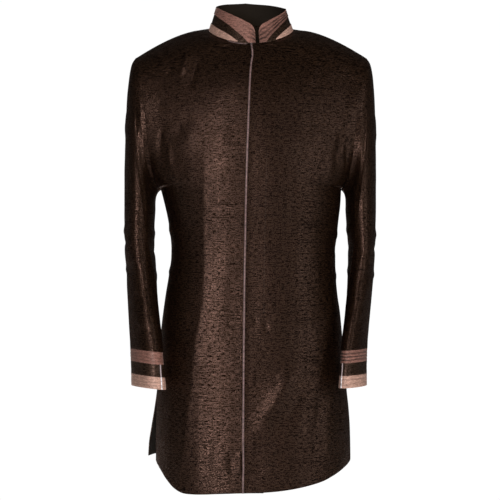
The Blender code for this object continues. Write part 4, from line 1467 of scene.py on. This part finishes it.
def front_rows():
    """Lines and normals of the sewing on the left front."""
    grid = grid_of("Front_left", columns=FRONT_COLUMNS * STEPS["front"][1] + 1)
    normals = normals_of(grid)
    from_edge = lengths_of(grid, 1)
    rows = []
    for away, high, low in FRONT_SEWING:
        sewn = [i for i in range(len(grid)) if low <= grid[i, 0, 2] <= high]
        line = [point_at(from_edge[i], grid[i], away) for i in sewn]
        facing = [point_at(from_edge[i], normals[i], away) for i in sewn]
        rows.append((np.array(line), np.array(facing)))
    return rows


def trim_rows():
    """Lines and normals of the sewing along the collar's strips and the cuffs."""
    rows = []
    for name in ("Collar_strip_top", "Collar_strip_bottom"):
        grid = grid_of(name, STRIP_ROWS)
        rows += [(grid[row], normals_of(grid)[row]) for row in (1, -2)]
    for half in ("right", "left"):
        for band, row in (("upper", 1), ("lower", -2)):
            grid = grid_of(f"Cuff_{band}_{half}", CUFF_ROWS)
            grid = np.concatenate([grid, grid[:, :1]], axis=1)
            rows.append((grid[row], normals_of(grid)[row]))
    return rows


class COAT_OT_sewing(CoatOperator, Operator):
    """Makes the rows of stitches"""

    bl_idname = "coat.sewing"
    bl_label = "Sewing"

    def execute(self, context):
        obj = add_stitches("Front_stitches", front_rows(), "brown_thread")
        obj = add_stitches("Trim_stitches", trim_rows(), "rose_thread")
        return {"FINISHED"}


def add_floor(scene):
    """A disc of pale paper under the coat."""
    turns = np.linspace(0, 2 * math.pi, FLOOR_CORNERS, endpoint=False)
    round_edge = FLOOR_RADIUS * np.stack([np.cos(turns), np.sin(turns)], axis=1)
    edge = [(x, y, FLOOR_Z) for x, y in round_edge.tolist()]
    mesh = bpy.data.meshes.new("Floor")
    mesh.from_pydata(edge, [], [tuple(range(FLOOR_CORNERS))])
    floor = bpy.data.objects.new("Floor", mesh)
    scene.collection.objects.link(floor)
    paper = bpy.data.materials.new("paper")
    paper.use_nodes = True
    shader = paper.node_tree.nodes["Principled BSDF"]
    shader.inputs["Base Color"].default_value = PAPER
    shader.inputs["Roughness"].default_value = 0.9
    mesh.materials.append(paper)


def add_light(scene, name, place, aim, size, watts, colour, gives):
    """An area light that points at a place and gives sheen, soft colour or both."""
    lamp = bpy.data.lights.new(name, "AREA")
    lamp.shape = "RECTANGLE"
    lamp.size, lamp.size_y = size
    lamp.energy = watts
    lamp.color = colour
    light = bpy.data.objects.new(name, lamp)
    light.location = place
    light.visible_glossy = gives != "diffuse"
    light.visible_diffuse = gives != "gloss"
    light.rotation_euler = (Vector(aim) - Vector(place)).to_track_quat("-Z", "Y").to_euler()
    scene.collection.objects.link(light)


def add_room(scene):
    """A room that looks white to the camera and gives the coat little light."""
    world = bpy.data.worlds.new("Room")
    world.use_nodes = True
    background = world.node_tree.nodes["Background"]
    background.inputs["Color"].default_value = (1, 1, 1, 1)
    seen = Wire(world.node_tree, None).node("ShaderNodeLightPath", {})
    (seen * (PAPER_WHITE - WORLD_GLOW) + WORLD_GLOW).feed(background, "Strength")
    scene.world = world


def add_camera(scene):
    """The camera, level with the middle of the coat, in front of it."""
    lens = bpy.data.cameras.new("Camera")
    lens.sensor_width = SENSOR_WIDTH
    lens.lens = LENS
    lens.clip_end = CAMERA_REACH
    camera = bpy.data.objects.new("Camera", lens)
    camera.location = CAMERA
    camera.rotation_euler = (math.pi / 2, 0, 0)
    scene.collection.objects.link(camera)
    scene.camera = camera


class COAT_OT_stage(CoatOperator, Operator):
    """Makes the pale floor, the soft lights, the white room and the camera"""

    bl_idname = "coat.stage"
    bl_label = "Studio"

    def execute(self, context):
        scene = context.scene
        add_floor(scene)
        for row in LIGHTS:
            add_light(scene, *row)
        scene.view_settings.view_transform = "Standard"
        add_room(scene)
        add_camera(scene)
        return {"FINISHED"}


class COAT_PT_panel(Panel):
    """Lists the coat's sizes, colours and pieces"""

    bl_label = "Sherwani Coat"
    bl_idname = "COAT_PT_panel"
    bl_space_type = "VIEW_3D"
    bl_region_type = "UI"
    bl_category = "Coat"

    def draw(self, context):
        layout = self.layout
        for group in (context.scene.coat_sizes, context.scene.coat_colours):
            box = layout.box()
            for name in group.__annotations__:
                box.prop(group, name)
        for operator in OPERATORS:
            layout.operator(operator.bl_idname)


OPERATORS = (
    COAT_OT_finishes,
    COAT_OT_fronts,
    COAT_OT_back,
    COAT_OT_sleeves,
    COAT_OT_cuffs,
    COAT_OT_collar,
    COAT_OT_sewing,
    COAT_OT_stage,
)
CLASSES = (CoatSizes, CoatColours, *OPERATORS, COAT_PT_panel)


def register():
    """Adds the coat's classes and properties to Blender."""
    for each in CLASSES:
        bpy.utils.register_class(each)
    bpy.types.Scene.coat_sizes = PointerProperty(type=CoatSizes)
    bpy.types.Scene.coat_colours = PointerProperty(type=CoatColours)


def unregister():
    """Takes the coat's classes and properties out of Blender."""
    del bpy.types.Scene.coat_colours
    del bpy.types.Scene.coat_sizes
    for each in reversed(CLASSES):
        bpy.utils.unregister_class(each)


def main():
    """Makes the whole coat."""
    register()
    bpy.ops.coat.finishes()
    bpy.ops.coat.fronts()
    bpy.ops.coat.back()
    bpy.ops.coat.sleeves()
    bpy.ops.coat.cuffs()
    bpy.ops.coat.collar()
    bpy.ops.coat.sewing()
    bpy.ops.coat.stage()


if __name__ == "__main__":
    main()
